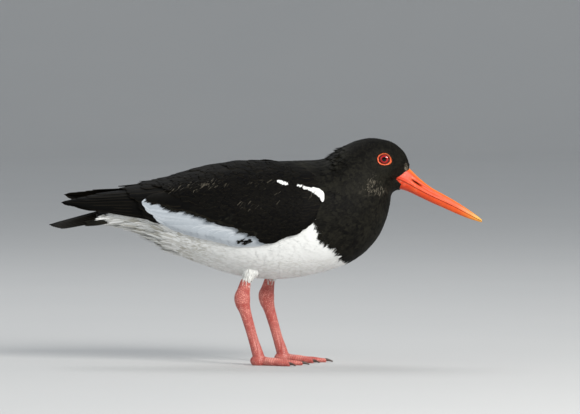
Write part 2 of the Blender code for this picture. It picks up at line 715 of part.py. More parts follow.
def make_foot(side, stand):
    """Heel pad, three toes with their claws, and the web between the toes, in one piece."""
    name = SIDE_NAMES[side]
    heel = limb(LEG_SECTIONS, 18, 10, stand, UPRIGHT_WIDTH)
    keep_below(heel, FOOT_CUT_HEIGHT)
    foot = add_object(f"foot_{name}", heel, "leg")
    pieces = []
    centre = stand(FOOT_CENTRE_X, 0.0)
    pad = ball((centre.x - PAD_BACK, centre.y, PAD_HEIGHT), PAD_RADII, "leg", "pad", 0.0, 12, 8)
    for vertex in pad.data.vertices:
        vertex.co.z = max(0.0, vertex.co.z)
    pieces.append(pad)
    tips = {}
    for toe, (length, splay) in TOES.items():
        heading = math.radians(splay * -side)
        run = Vector((math.cos(heading), math.sin(heading), 0))
        across = Vector((-run.y, run.x, 0))
        tips[toe] = centre + run * length

        def along(distance, height, run=run):
            return centre + run * distance + Vector((0, 0, height))

        rows = [(share * length, z, deep, wide) for share, z, deep, wide in TOE_SECTIONS]
        form = limb(rows, 12, 8, along, across)
        flatten_sole(form)
        pieces.append(add_object("toe", form, "leg"))
        claw_rows = [(length + x, z, deep, wide) for x, z, deep, wide in CLAW_SECTIONS]
        form = limb(claw_rows, 5, 5, along, across)
        flatten_sole(form)
        pieces.append(add_object("claw", form, "leg"))
    for toe, reach in WEB_REACH.items():
        corners = [centre, centre.lerp(tips["middle"], reach), centre.lerp(tips[toe], reach)]
        layers = [[(c.x, c.y, z) for c in corners] for z in (WEB_BOTTOM, WEB_TOP)]
        pieces.append(add_object("web", loft(layers), "leg"))
    combine(foot, pieces, "UNION")


def main():
    for old in list(bpy.data.objects):
        bpy.data.objects.remove(old)
    make_head()
    body_piece("neck", "black_plumage", behind=NECK_CUT, ahead=HEAD_CUT)
    torso = body_piece("torso", "white_plumage", behind=TAIL_CUT, ahead=NECK_CUT)
    tail = make_tail()
    for side in SIDE_NAMES:
        neck = bpy.data.objects["neck"]
        combine(make_wing(side), [swollen(torso), swollen(neck), swollen(tail)], "DIFFERENCE", "MANIFOLD")
        make_leg(side, torso)


main()
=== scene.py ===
"""The looks of a life-size standing Eurasian oystercatcher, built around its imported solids.

Sizes are in millimetres along X (towards the bill), Y (the bird's left) and Z (up), and MM makes metres
of them. A place on the body or on a folded wing is given by u, which runs with the lie of the feathers,
and v, which runs round the body.
"""

import math

import bpy
import numpy as np
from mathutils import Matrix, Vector
from mathutils.kdtree import KDTree


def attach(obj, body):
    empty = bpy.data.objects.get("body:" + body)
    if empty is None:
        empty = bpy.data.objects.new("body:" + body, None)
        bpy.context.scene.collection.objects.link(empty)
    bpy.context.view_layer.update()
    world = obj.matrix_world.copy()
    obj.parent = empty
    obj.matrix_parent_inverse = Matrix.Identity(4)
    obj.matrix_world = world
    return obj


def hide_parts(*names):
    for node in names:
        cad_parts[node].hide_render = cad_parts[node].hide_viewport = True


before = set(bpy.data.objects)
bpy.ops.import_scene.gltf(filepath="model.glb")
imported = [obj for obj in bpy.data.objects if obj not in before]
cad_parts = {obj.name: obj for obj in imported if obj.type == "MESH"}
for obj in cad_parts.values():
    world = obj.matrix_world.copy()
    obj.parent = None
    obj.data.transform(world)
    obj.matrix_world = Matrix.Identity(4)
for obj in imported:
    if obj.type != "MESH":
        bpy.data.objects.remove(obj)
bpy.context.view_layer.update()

for spare in ("Cube", "Light", "Camera"):
    if spare in bpy.data.objects:
        bpy.data.objects.remove(bpy.data.objects[spare])
MM = 0.001
RIGHT, LEFT = -1, 1
SIDES = {RIGHT: "right", LEFT: "left"}
MOST_TRIANGLES = 190000

# The numbers from here to OUTER_RECTRIX are the same as in the part's source, but for RUMP_SECTIONS
BODY_SECTIONS = [
    (-150.0, 135.5, -150.0, 126.0, 9.5), (-138.0, 139.5, -139.0, 123.0, 15.0),
    (-120.0, 146.0, -121.0, 118.4, 21.0), (-100.0, 153.0, -103.0, 111.0, 28.0),
    (-78.0, 160.5, -84.0, 98.6, 35.0), (-50.0, 168.5, -56.0, 87.4, 41.0),
    (-20.0, 175.0, -24.0, 77.7, 44.5), (8.0, 178.2, 8.0, 74.8, 46.0),
    (30.0, 179.0, 38.0, 78.2, 45.5), (44.0, 179.6, 66.0, 85.8, 43.0),
    (53.0, 181.6, 84.0, 96.0, 39.5), (60.0, 187.2, 97.5, 110.5, 35.0),
    (69.0, 192.4, 105.0, 126.0, 30.0), (80.0, 196.9, 108.0, 139.0, 25.0),
    (91.0, 198.8, 108.8, 148.0, 20.8), (101.5, 197.6, 111.5, 152.0, 18.0),
    (111.0, 194.6, 114.5, 153.0, 14.2), (120.4, 186.6, 117.5, 153.6, 10.2),
    (125.0, 176.6, 120.5, 154.3, 7.5),
]
BODY_FULLNESS = 0.92
# Beyond the rump the coat's own form goes on over the root of the tail
RUMP_SECTIONS = [(-178.0, 127.5, -178.0, 122.3, 5.0), (-165.0, 131.5, -165.0, 123.6, 7.6)]
BILL_SECTIONS = [
    (110.0, 179.0, 164.9, 154.6, 7.6), (118.0, 176.0, 161.6, 153.6, 7.3), (125.0, 172.3, 158.2, 151.4, 6.5),
    (133.8, 163.9, 153.3, 147.2, 5.5), (144.3, 155.6, 148.0, 142.2, 4.6), (155.1, 149.5, 143.0, 137.5, 3.8),
    (165.9, 143.3, 137.9, 132.7, 3.1), (176.5, 136.5, 132.2, 128.4, 2.3), (184.8, 130.6, 127.9, 125.8, 1.5),
    (189.2, 126.9, 125.7, 124.6, 0.8),
]
UPPER_OUTLINE = [(1.0, 0.0), (0.99, 0.2), (0.82, 0.48), (0.66, 0.72), (0.34, 0.94), (0.0, 1.0)]
LOWER_OUTLINE = [(1.0, 0.0), (0.97, 0.3), (0.78, 0.66), (0.42, 0.93), (0.0, 1.0)]
MOUTH_HALF_GAP = 0.21
EYE = (102.8, 180.8)
LID_HALF_LENGTH, LID_HALF_HEIGHT, LID_CORNER = 5.9, 5.2, 0.24
LID_CORNER_DIRECTION = math.radians(-32)
CLOAK_START, CLOAK_STEP = 60.0, 30.0
CLOAK_SECTIONS = [
    (184.0, 84.0, 44.5), (181.2, 76.0, 49.5), (181.4, 74.5, 50.5), (179.8, 79.0, 49.0), (173.8, 89.5, 45.5),
    (165.0, 101.5, 38.5), (159.0, 113.5, 29.0), (154.2, 124.5, 18.5), (150.2, 135.5, 8.0),
]
WING_EDGES = [
    (50.0, 43.0, 143.5), (48.0, 38.0, 134.5), (41.0, 29.0, 124.0), (29.0, 21.0, 115.8), (11.0, 15.0, 109.5),
    (-5.0, 12.5, 104.8), (-30.0, 9.0, 106.4), (-60.0, 3.5, 112.4), (-90.0, 1.4, 121.6),
    (-120.0, 1.2, 128.8), (-150.0, 1.2, 135.6), (-165.0, 1.2, 140.8), (-179.0, 1.2, 145.4),
]
LOWER_DRAW_IN, LOWER_DRAW_START, LOWER_DRAW_RUN = 2.2, math.radians(10), math.radians(15)
TIP_RISE = {RIGHT: -3.4, LEFT: 3.0}
TIP_RISE_START, TIP_RISE_END = -100.0, -179.0
LEG_SPREAD = 21.0
LEG_SHIFT = {RIGHT: 0.0, LEFT: 21.0}
THIGH_SECTIONS = [
    (-10.0, 92.0, 8.0, 5.6), (-13.5, 84.0, 8.0, 6.0), (-16.6, 77.5, 5.9, 5.1), (-18.4, 73.0, 4.6, 4.3),
    (-19.4, 69.0, 4.4, 4.1),
]
LEG_SECTIONS = [
    (-18.4, 75.0, 4.2, 3.9), (-20.4, 65.5, 5.8, 4.4), (-21.6, 60.0, 7.0, 5.0), (-21.2, 54.5, 6.6, 4.8),
    (-19.0, 47.0, 5.1, 3.7), (-15.2, 34.0, 4.5, 3.2), (-11.8, 22.0, 4.4, 3.2), (-8.8, 12.5, 4.9, 4.3),
    (-7.0, 6.5, 5.2, 4.9),
]
FOOT_CENTRE_X = -6.4
PAD_BACK, PAD_HEIGHT, PAD_RADII = 1.0, 4.0, (7.4, 6.0, 5.4)
TOES = {"inner": (30.0, 27.0), "middle": (38.0, 0.0), "outer": (31.0, -30.0)}
TOE_SECTIONS = [
    (-0.12, 4.6, 4.4, 4.2), (0.05, 4.2, 4.1, 3.9), (0.22, 3.4, 3.5, 3.1), (0.36, 3.2, 3.4, 3.4),
    (0.52, 2.6, 2.8, 2.7), (0.66, 2.5, 2.7, 3.0), (0.84, 2.0, 2.2, 2.2), (0.96, 1.7, 1.9, 1.8),
    (1.0, 1.5, 1.5, 1.0),
]
CLAW_SECTIONS = [(-3.5, 2.2, 1.3, 1.2), (0.0, 2.3, 1.3, 1.1), (3.0, 1.7, 0.9, 0.8), (5.6, 0.8, 0.5, 0.4)]
WEB_REACH = {"inner": 0.2, "outer": 0.34}
CENTRAL_RECTRIX = (-130.0, 2.0, 139.5, -191.0, 2.6, 122.6)
OUTER_RECTRIX = (-130.0, 6.5, 129.5, -180.5, 16.0, 120.4)

# Relief of the head under its feathers: x, z, reach along x and z, and height
HEAD_RELIEF = [
    (101.0, 188.5, 9.0, 3.4, 0.7), (102.8, 180.8, 9.5, 8.0, -0.9), (114.5, 175.5, 6.0, 4.2, -0.8),
    (98.0, 167.5, 9.0, 5.5, 0.9), (107.0, 162.0, 7.5, 2.6, -0.9), (87.0, 172.0, 8.0, 8.0, 0.6),
    (103.0, 155.5, 7.0, 3.0, -0.5),
]
FACE_TAPER = 9.0
FIRST_PLACE, LAST_PLACE, CAP_PLACE = -2.0, 18.0, 19.0
PLACE_STEP = 0.05
BODY_COLUMNS = 240

# Coat of the body by place: length, width and number of strips of a feather, and depth of its root
COAT_PLACES = [0.0, 1.5, 4.0, 8.0, 10.0, 11.5, 12.6, 13.6, 15.0, 16.5, 18.0, 19.0]
COAT_LENGTH = [13.0, 15.0, 16.0, 14.0, 12.0, 9.6, 7.8, 6.2, 4.8, 3.5, 2.4, 2.0]
COAT_WIDTH = [6.0, 6.6, 7.2, 7.0, 6.0, 4.4, 3.2, 2.3, 1.6, 1.1, 0.8, 0.7]
COAT_DEPTH = [1.1, 1.2, 1.2, 1.2, 1.2, 1.15, 1.05, 0.95, 0.8, 0.62, 0.5, 0.45]

rng = np.random.default_rng(11)


def curve_through(rows, places):
    """Values of a smooth curve through the rows at places from 0 to len(rows) - 1."""
    rows = np.asarray(rows, float)
    padded = np.vstack([2 * rows[0] - rows[1], rows, 2 * rows[-1] - rows[-2]])
    places = np.clip(np.asarray(places, float), 0, len(rows) - 1 - 1e-9)
    start = places.astype(int)
    t = (places - start)[..., None]
    before, here, after, beyond = (padded[start + k] for k in range(4))
    bend = 2 * before - 5 * here + 4 * after - beyond
    twist = 3 * here - before - 3 * after + beyond
    return here + 0.5 * t * (after - before + t * (bend + t * twist))


def whole_curve(rows, count):
    """So many values evenly along the whole of a smooth curve through the rows."""
    return curve_through(rows, np.linspace(0, len(rows) - 1, count))


def dot(a, b):
    """Dot products along the last axis, which stays."""
    return (a * b).sum(-1, keepdims=True)


def unit(vectors):
    """The vectors at length 1."""
    return vectors / np.maximum(np.linalg.norm(vectors, axis=-1, keepdims=True), 1e-9)


def smooth(x, low, high):
    """0 below low, 1 above high, and a smooth rise between."""
    t = np.clip((np.asarray(x, float) - low) / (high - low), 0, 1)
    return t * t * (3 - 2 * t)


# x of the line where feathers meet the bill, by z
FACE_LINE = [(146.0, 119.2), (153.0, 118.4), (158.6, 118.8), (163.2, 114.3), (174.6, 130.0), (190.0, 151.2)]


def behind_face(x, z):
    """Distance behind the line where feathers meet the bill; negative ahead of it."""
    heights, places = np.array(FACE_LINE).T
    line = np.interp(z, heights, places)
    slope = np.interp(z, (heights[1:] + heights[:-1]) / 2, np.diff(places) / np.diff(heights))
    return (line - x) / np.sqrt(1 + slope * slope)


def bill_half_width(x, z):
    """Half width of the bill at a point of its side view, 0 above and below it."""
    xs, culmens, mouths, keels, widths = np.array(BILL_SECTIONS).T
    culmen, mouth, keel, width = (np.interp(x, xs, values) for values in (culmens, mouths, keels, widths))
    above, below = (z - mouth) / (culmen - mouth), (mouth - z) / (mouth - keel)
    shares = []
    for rise, outline in ((above, UPPER_OUTLINE), (below, LOWER_OUTLINE)):
        outs, rises = zip(*outline)
        shares.append(np.interp(rise, rises, outs))
    return width * np.where(z >= mouth, shares[0], shares[1])


class Surface:
    """A sheet of points: u, the first index, runs with the lie of the feathers, v goes round."""

    def __init__(self, points, outward, closed=False):
        along = np.gradient(points, axis=0)
        if closed:
            wide = np.concatenate([points[:, -2:-1], points, points[:, 1:2]], axis=1)
            across = (wide[:, 2:] - wide[:, :-2]) / 2
        else:
            across = np.gradient(points, axis=1)
        normal = unit(np.cross(along, across)) * outward
        self.values = np.concatenate([points, normal, along, across], axis=-1)
        self.rows, self.columns = points.shape[:2]
        self.closed = closed

    def at(self, u, v):
        """Point, outward normal, and the steps of the point with u and with v."""
        u = np.clip(u, 0, self.rows - 1 - 1e-6)
        v = np.mod(v, self.columns - 1) if self.closed else np.clip(v, 0, self.columns - 1 - 1e-6)
        i, j = u.astype(int), v.astype(int)
        a, b = (u - i)[..., None], (v - j)[..., None]
        near = self.values[i, j] * (1 - a) + self.values[i + 1, j] * a
        far = self.values[i, j + 1] * (1 - a) + self.values[i + 1, j + 1] * a
        found = near * (1 - b) + far * b
        return found[..., 0:3], unit(found[..., 3:6]), found[..., 6:9], found[..., 9:12]


def steps(along, across, wanted):
    """How u and v change for a move of 1 along a tangent vector."""
    aa, ab, bb = dot(along, along), dot(along, across), dot(across, across)
    wa, wb = dot(wanted, along), dot(wanted, across)
    spread = np.maximum(aa * bb - ab * ab, 1e-9)
    return np.concatenate([(wa * bb - wb * ab) / spread, (wb * aa - wa * ab) / spread], axis=-1)


def body_points(place, turn):
    """Points of the body's outer form, with the relief of the head and its taper to the bill."""
    place, turn = np.broadcast_arrays(place, turn)
    rows = curve_through(RUMP_SECTIONS + BODY_SECTIONS, np.minimum(place, LAST_PLACE) - FIRST_PLACE)
    back_x, back_z, belly_x, belly_z, half_width = np.moveaxis(rows, -1, 0)
    rise = (1 + np.cos(turn)) / 2
    out = half_width * np.abs(np.sin(turn)) ** BODY_FULLNESS * np.sign(np.sin(turn))
    points = np.stack([belly_x + (back_x - belly_x) * rise, out, belly_z + (back_z - belly_z) * rise], axis=-1)
    shut = np.clip(place - LAST_PLACE, 0, 1)[..., None]
    centre = np.array([122.0, 0.0, 166.0])
    points = centre + (points - centre) * np.sqrt(1 - 0.94 * shut * shut) + np.array([1.2, 0, 0]) * shut
    return points


def body_surface():
    """The body's outer form: u from the face back to the rump, v round it."""
    places = np.arange(CAP_PLACE, FIRST_PLACE - 1e-6, -PLACE_STEP)[:, None]
    turns = np.linspace(0, 2 * np.pi, BODY_COLUMNS + 1)[None, :]
    points = body_points(places, turns)
    rough = Surface(points, -1, closed=True)
    x, z = points[..., 0], points[..., 2]
    sides = np.abs(np.sin(turns)) ** 0.5
    raised = sum(
        height * np.exp(-(((x - cx) / rx) ** 2) - ((z - cz) / rz) ** 2)
        for cx, cz, rx, rz, height in HEAD_RELIEF
    )
    points = points + rough.values[..., 3:6] * (raised * sides)[..., None]
    distance = behind_face(x, z)
    share = smooth(distance, 0.0, FACE_TAPER)
    at_bill = bill_half_width(x, z) + np.where(distance > 0, 0.35, -0.6)
    wide = np.abs(points[..., 1])
    tapered = np.minimum(wide, at_bill + np.maximum(wide - at_bill, 0) * share)
    near = (distance < FACE_TAPER) & (x > 100)
    points[..., 1] = np.where(near, np.sign(points[..., 1]) * np.maximum(tapered, 0.0), points[..., 1])
    return Surface(points, -1, closed=True)


def u_of(place):
    """u on the body at a place along it."""
    return (CAP_PLACE - np.asarray(place, float)) / PLACE_STEP


def place_of(u):
    """Place along the body at a u."""
    return CAP_PLACE - np.asarray(u, float) * PLACE_STEP


def cloak_frame(x):
    """Ridge z, keel z and half width of the folded wings' outer form at x."""
    return np.moveaxis(curve_through(CLOAK_SECTIONS, (CLOAK_START - np.asarray(x, float)) / CLOAK_STEP), -1, 0)


def lower_turn(x):
    """Turn, down from the back, of the folded wing's lower edge at x."""
    places, _, lows = zip(*reversed(WING_EDGES))
    ridge, keel, _ = cloak_frame(x)
    rise = (np.interp(x, places, lows) - (ridge + keel) / 2) / ((ridge - keel) / 2)
    return np.arccos(np.clip(rise, -1, 1))


WING_X0, WING_X1, WING_ROWS = 62.0, -188.0, 251
WING_T0, WING_T1, WING_COLUMNS = math.radians(-4), math.radians(150), 155


def wing_surface(side):
    """The outer form of a folded wing: u from the front to the tips, v from the back down."""
    x = np.linspace(WING_X0, WING_X1, WING_ROWS)[:, None]
    turn = np.linspace(WING_T0, WING_T1, WING_COLUMNS)[None, :]
    x, turn = np.broadcast_arrays(x, turn)
    ridge, keel, half_width = cloak_frame(x)
    rearward = np.maximum(0.0, (TIP_RISE_START - x) / (TIP_RISE_START - TIP_RISE_END))
    z = (ridge + keel) / 2 + (ridge - keel) / 2 * np.cos(turn) + TIP_RISE[side] * rearward**1.5
    points = np.stack([x, side * half_width * np.sin(turn), z], axis=-1)
    rough = Surface(points, -side)
    share = np.clip((turn - lower_turn(x) + LOWER_DRAW_START) / LOWER_DRAW_RUN, 0, 1)
    points = points - rough.values[..., 3:6] * (LOWER_DRAW_IN * share * share)[..., None]
    return Surface(points, -side)


def wing_uv(x, degrees):
    """u and v on a wing's surface at x and so many degrees down from the back."""
    u = (WING_X0 - np.asarray(x, float)) / (WING_X0 - WING_X1) * (WING_ROWS - 1)
    v = (np.radians(degrees) - WING_T0) / (WING_T1 - WING_T0) * (WING_COLUMNS - 1)
    return u, v


# A strip of a feather: share along it, share of its full width, and how far the strips have spread
STRIP_ROWS = np.array([0.0, 0.36, 0.68, 0.88, 1.0])
STRIP_WIDTHS = np.array([0.7, 1.0, 0.9, 0.6, 0.0])
STRIP_SPREAD = np.array([0.35, 0.85, 1.0, 1.02, 1.02])
SHORT_ROWS = np.array([0.0, 0.82, 1.0])
SHORT_WIDTHS = np.array([0.8, 1.0, 0.0])
SHORT_SPREAD = np.array([0.45, 1.0, 1.02])
# How much shorter a feather's outer strips are, how far strips stray, how many of a pale feather's strips
# are pale, and how soon a feather comes up from its root
ROUND_TIP, STRIP_STRAY, PALE_STRIPS, RISE_POWER = 0.26, 0.12, 0.6, 0.75
# Size of a feather's part of the OFBake map
PATCH = 0.003


def strip_faces(rows):
    """Triangles of one strip, three points a row and a point at its tip: upper ones, then those under it."""
    upper, under = [], [(0, 1, 2)]
    for i in range(rows - 2):
        left, top, right = 3 * i, 3 * i + 1, 3 * i + 2
        upper += [(left, top + 3, top), (left, left + 3, top + 3)]
        upper += [(top, right + 3, right), (top, top + 3, right + 3)]
        under += [(right, left + 3, left), (right, right + 3, left + 3)]
    left, tip = 3 * (rows - 2), 3 * (rows - 1)
    upper += [(left, tip, left + 1), (left + 1, tip, left + 2)]
    under.append((left + 2, tip, left))
    return np.array(upper + under), len(upper)


def feathers(surface, u, v, swing, length, width, strips, root, tip, short=False, stand=0.0, camber=0.05,
             thickness=0.12, ragged=0.12, overlap=1.3, wanted=None, tone=None, pale=None, kink=0.0,
             rough=0.07):
    """Small feathers, each a fan of strips rooted at (u, v), as one batch for add_coat.

    swing turns a feather from the lie, root and tip are its heights over the surface, stand raises its tip."""
    count = len(u)
    spread = lambda value: np.broadcast_to(np.asarray(value, float), (count,))
    length, width, root, tip, stand, swing = map(spread, (length, width, root, tip, stand, swing))
    _, normal, along, across = surface.at(u, v)
    if wanted is None:
        forward = unit(along)
        side = np.cross(normal, forward)
        wanted = forward * np.cos(swing)[:, None] + side * np.sin(swing)[:, None]
    wanted = unit(wanted - dot(wanted, normal) * normal)
    run, beside = steps(along, across, wanted), steps(along, across, np.cross(normal, wanted))
    rows, widths, spreads = (SHORT_ROWS, SHORT_WIDTHS, SHORT_SPREAD) if short else (
        STRIP_ROWS, STRIP_WIDTHS, STRIP_SPREAD)
    place = (2 * np.arange(strips) + 1) / strips - 1
    reach = 1 - ROUND_TIP * np.abs(place)[None, :] ** 1.6 - ragged * rng.random((count, strips))
    share = rows[None, None, :] * reach[:, :, None]
    half = width[:, None, None] / 2
    centre = place[None, :, None] * half * spreads
    centre = centre + rng.normal(0, STRIP_STRAY, (count, strips, 1)) * half / strips * rows
    bend = rng.normal(0, kink, (count, 1, 1)) * length[:, None, None] * share**2
    wide = half / strips * overlap * widths * (0.8 + 0.4 * rng.random((count, strips, 1)))
    if strips == 1:
        wide = half * widths * np.ones((count, 1, 1))
    lateral = (centre + bend)[..., None] + wide[..., None] * np.array([-1, 0, 1])
    far = (share * length[:, None, None])[..., None]
    uu = u[:, None, None, None] + run[:, 0, None, None, None] * far + beside[:, 0, None, None, None] * lateral
    vv = v[:, None, None, None] + run[:, 1, None, None, None] * far + beside[:, 1, None, None, None] * lateral
    points, normals, _, _ = surface.at(uu, vv)
    height = root[:, None, None] + (tip - root)[:, None, None] * share**RISE_POWER
    height = height + stand[:, None, None] * share**2.2
    height = height - camber * width[:, None, None] * (place**2)[None, :, None]
    height = height + rng.normal(0, 1, (count, strips, 1)) * rough * rows
    ridge = thickness * (0.7 + 0.6 * rng.random((count, strips, 1))) * np.where(rows < 1, 1.0, 0.0)
    rise = height[..., None] + ridge[..., None] * np.array([0, 1, 0])
    points = points + normals * rise[..., None]
    keep = [i for i in range(3 * len(rows)) if i < 3 * (len(rows) - 1)] + [3 * len(rows) - 2]
    points = points.reshape(count * strips, -1, 3)[:, keep]
    shares = np.broadcast_to(share[..., None], share.shape + (3,)).reshape(count * strips, -1)[:, keep]
    sides = (lateral / np.maximum(half[..., None], 1e-6)).reshape(count * strips, -1)[:, keep]
    if tone is None:
        tone = rng.random(count)
    tones = np.repeat(tone, strips)[:, None] + rng.normal(0, 0.1, (count * strips, 1)) + 0 * shares
    if pale is None:
        pales = np.zeros_like(shares)
    else:
        seen = rng.random((count * strips, 1)) < (PALE_STRIPS if strips > 1 else 1.1)
        pales = np.repeat(np.asarray(pale, float), strips)[:, None] * seen + 0 * shares
    home = np.stack([np.mod(v, surface.columns - 1) / (surface.columns - 1), u / (surface.rows - 1)], axis=-1)
    home = np.repeat(home, strips, axis=0)[:, None, :] + 0 * shares[..., None]
    patch = PATCH * np.stack([sides * 0.5, shares - 0.5], axis=-1)
    faces, upper = strip_faces(len(rows))
    return {"points": points, "faces": faces, "upper": upper, "home": home, "patch": patch, "tone": tones,
            "share": shares, "side": sides, "pale": pales}


SMALL_ROWS, SMALL_COLUMNS = 6, 5
# How ragged the margins of small and large vanes are, and the share of the half width where a margin starts
SMALL_FRAY, VANE_FRAY, FRAY_FROM = 0.035, 0.008, 0.9


def small_vanes(surface, u, v, swing, length, width, root, tip, stand, rounding, camber, tone, pale):
    """Small feathers of the wing, each one thin rounded plate with a shaft, as one batch for add_vanes."""
    count = len(u)
    spread = lambda value: np.broadcast_to(np.asarray(value, float), (count,))[:, None, None]
    _, normal, along, across = surface.at(u, v)
    forward = unit(along)
    beside = np.cross(normal, forward)
    wanted = forward * np.cos(swing)[:, None] + beside * np.sin(swing)[:, None]
    run, side = steps(along, across, wanted), steps(along, across, np.cross(normal, wanted))
    shares, broad = vane_outline(rounding, SMALL_ROWS)
    share = np.broadcast_to(shares[None, :, None], (count, SMALL_ROWS, SMALL_COLUMNS))
    places = np.broadcast_to(np.linspace(-1, 1, SMALL_COLUMNS)[None, None, :], share.shape)
    fray = 1 + rng.normal(0, SMALL_FRAY, share.shape) * (np.abs(places) > FRAY_FROM)
    lateral = places * fray * broad[None, :, None] * spread(width) / 2
    far = share * spread(length) * (1 + rng.normal(0, 0.012, share.shape))
    uu = u[:, None, None] + run[:, 0, None, None] * far + side[:, 0, None, None] * lateral
    vv = v[:, None, None] + run[:, 1, None, None] * far + side[:, 1, None, None] * lateral
    points, normals, _, _ = surface.at(uu, vv)
    shaft = 0.1 * np.exp(-((places / 0.2) ** 2)) * (1 - share)
    height = spread(root) + spread(tip - root) * share**RISE_POWER + spread(stand) * share**2
    height = height - spread(camber * width) * places**2
    top = points + normals * (height + shaft)[..., None]
    both = lambda values: np.concatenate([values.reshape(count, -1), values.reshape(count, -1)], axis=1)
    under = top - normals * SMALL_THICKNESS
    barb = (far - np.abs(lateral) * BARB_SLANT) / BARB_PITCH
    home = np.stack([v / (surface.columns - 1), u / (surface.rows - 1)], axis=-1)[:, None, :]
    faces, upper = plate_faces(SMALL_ROWS, SMALL_COLUMNS)
    a, b, c = top.reshape(count, -1, 3)[0][faces[0]]
    if dot(np.cross(b - a, c - a), normal[0])[0] < 0:
        faces = faces[:, ::-1]
    return {
        "points": np.concatenate([top.reshape(count, -1, 3), under.reshape(count, -1, 3)], axis=1),
        "faces": faces, "upper": upper, "home": home + 0 * both(share)[..., None],
        "patch": PATCH * np.stack([both(places) * 0.5, both(share) - 0.5], axis=-1),
        "tone": tone[:, None] + 0 * both(share), "share": both(share), "side": both(places),
        "pale": pale[:, None] + 0 * both(share), "barb": both(barb),
    }


def linked(name, data):
    """A new object of the scene with the data."""
    made = bpy.data.objects.new(name, data)
    bpy.context.scene.collection.objects.link(made)
    return made


def set_numbers(mesh, numbers):
    """Numbers for each point of a mesh, which its material reads."""
    for key, values in numbers.items():
        attribute = mesh.attributes.new(key, "FLOAT", "POINT")
        attribute.data.foreach_set("value", np.asarray(values).astype(np.float32).ravel())


def make_mesh(name, points, faces, uv=None, numbers=None, finish=None, flat=None):
    """An object from arrays of points in millimetres, triangles and numbers for each point.

    The triangles that flat is true for are shaded flat, and a sharp rim parts them from the others."""
    mesh = bpy.data.meshes.new(name)
    mesh.vertices.add(len(points))
    mesh.vertices.foreach_set("co", (np.asarray(points) * MM).astype(np.float32).ravel())
    mesh.loops.add(len(faces) * 3)
    mesh.loops.foreach_set("vertex_index", np.asarray(faces).astype(np.int32).ravel())
    mesh.polygons.add(len(faces))
    mesh.polygons.foreach_set("loop_start", np.arange(0, len(faces) * 3, 3, dtype=np.int32))
    mesh.update(calc_edges=True)
    set_numbers(mesh, numbers or {})
    if uv is not None:
        layer = mesh.uv_layers.new(name="OFBake")
        layer.data.foreach_set("uv", np.asarray(uv)[np.asarray(faces).ravel()].astype(np.float32).ravel())
    if flat is not None:
        mark_rims(mesh, flat)
    mesh.polygons.foreach_set("use_smooth", np.ones(len(faces), bool) if flat is None else ~flat)
    if finish is not None:
        mesh.materials.append(finish)
    return linked(name, mesh)


def mark_rims(mesh, flat):
    """Marks the edges between flat and smooth triangles sharp, so that an upper side doesn't look round."""
    edges = np.empty(len(mesh.loops), np.int32)
    mesh.loops.foreach_get("edge_index", edges)
    beside_flat = np.bincount(edges, weights=np.repeat(flat, 3), minlength=len(mesh.edges))
    beside_any = np.bincount(edges, minlength=len(mesh.edges))
    rim = mesh.attributes.new("sharp_edge", "BOOLEAN", "EDGE")
    rim.data.foreach_set("value", (beside_flat > 0) & (beside_flat < beside_any))


def settle(made, nodes):
    """Rides a piece on the body, and hides the solids that it stands for."""
    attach(made, "root")
    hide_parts(*nodes)
    return made


BATCH_COLUMNS = {"points": 3, "home": 2, "patch": 2, "tone": 1, "share": 1, "side": 1, "pale": 1}


def add_coat(name, batches, finish, nodes):
    """One piece of coat from batches of feathers, under the limit of triangles."""
    batches = [batch for batch in batches if len(batch["points"])]
    faces, flat, first = [], [], 0
    for batch in batches:
        n, k = batch["points"].shape[:2]
        faces.append((batch["faces"][None] + (first + k * np.arange(n))[:, None, None]).reshape(-1, 3))
        flat.append(np.tile(np.arange(len(batch["faces"])) >= batch["upper"], n))
        first += n * k
    faces, flat = np.concatenate(faces), np.concatenate(flat)
    joined = {
        key: np.concatenate([batch[key].reshape(-1, wide) for batch in batches])
        for key, wide in BATCH_COLUMNS.items()
    }
    low, high = joined["home"].min(0), joined["home"].max(0)
    uv = 0.01 + 0.98 * (joined["home"] - low) / (high - low) + joined["patch"]
    print(name, len(faces), "triangles")
    if len(faces) > MOST_TRIANGLES:
        raise ValueError(f"{name} has {len(faces)} triangles")
    numbers = {key: joined[key] for key in ("tone", "share", "side", "pale")}
    return settle(make_mesh(name, joined["points"], faces, uv, numbers, finish, flat), nodes)


BODY = body_surface()
WINGS = {side: wing_surface(side) for side in SIDES}


def new_finish(name, colour=(0.5, 0.5, 0.5), roughness=0.5, **sockets):
    """A material, its node tree and its shader. sockets are constants for the shader's other inputs."""
    finish = bpy.data.materials.new(name)
    finish.use_nodes = True
    shader = finish.node_tree.nodes["Principled BSDF"]
    shader.inputs["Base Color"].default_value = (*colour, 1)
    shader.inputs["Roughness"].default_value = roughness
    finish.diffuse_color = (*colour, 1)
    for key, value in sockets.items():
        shader.inputs[key.replace("_", " ")].default_value = value
    return finish, finish.node_tree, shader


def add_node(tree, kind, values=(), **settings):
    """A node with its settings; values are constants or other nodes' outputs for its inputs."""
    made = tree.nodes.new(kind)
    for key, value in settings.items():
        setattr(made, key, value)
    for key, value in dict(values).items():
        if isinstance(value, bpy.types.NodeSocket):
            tree.links.new(value, made.inputs[key])
        else:
            made.inputs[key].default_value = value
    return made


def number(tree, name):
    """A number that the mesh carries for each point."""
    return add_node(tree, "ShaderNodeAttribute", attribute_name=name).outputs["Fac"]


def maths(tree, operation, a, b=0.0):
    """The outcome of one arithmetic node."""
    return add_node(tree, "ShaderNodeMath", {0: a, 1: b, 2: 0.0}, operation=operation).outputs[0]


def times(tree, a, b):
    """The product of two numbers of a material."""
    return maths(tree, "MULTIPLY", a, b)


def plus(tree, a, b):
    """The sum of two numbers of a material."""
    return maths(tree, "ADD", a, b)


def ranged(tree, value, low, high, start=0.0, end=1.0):
    """A value carried over from one range to another, and kept in it."""
    values = {"Value": value, "From Min": low, "From Max": high, "To Min": start, "To Max": end}
    return add_node(tree, "ShaderNodeMapRange", values).outputs["Result"]


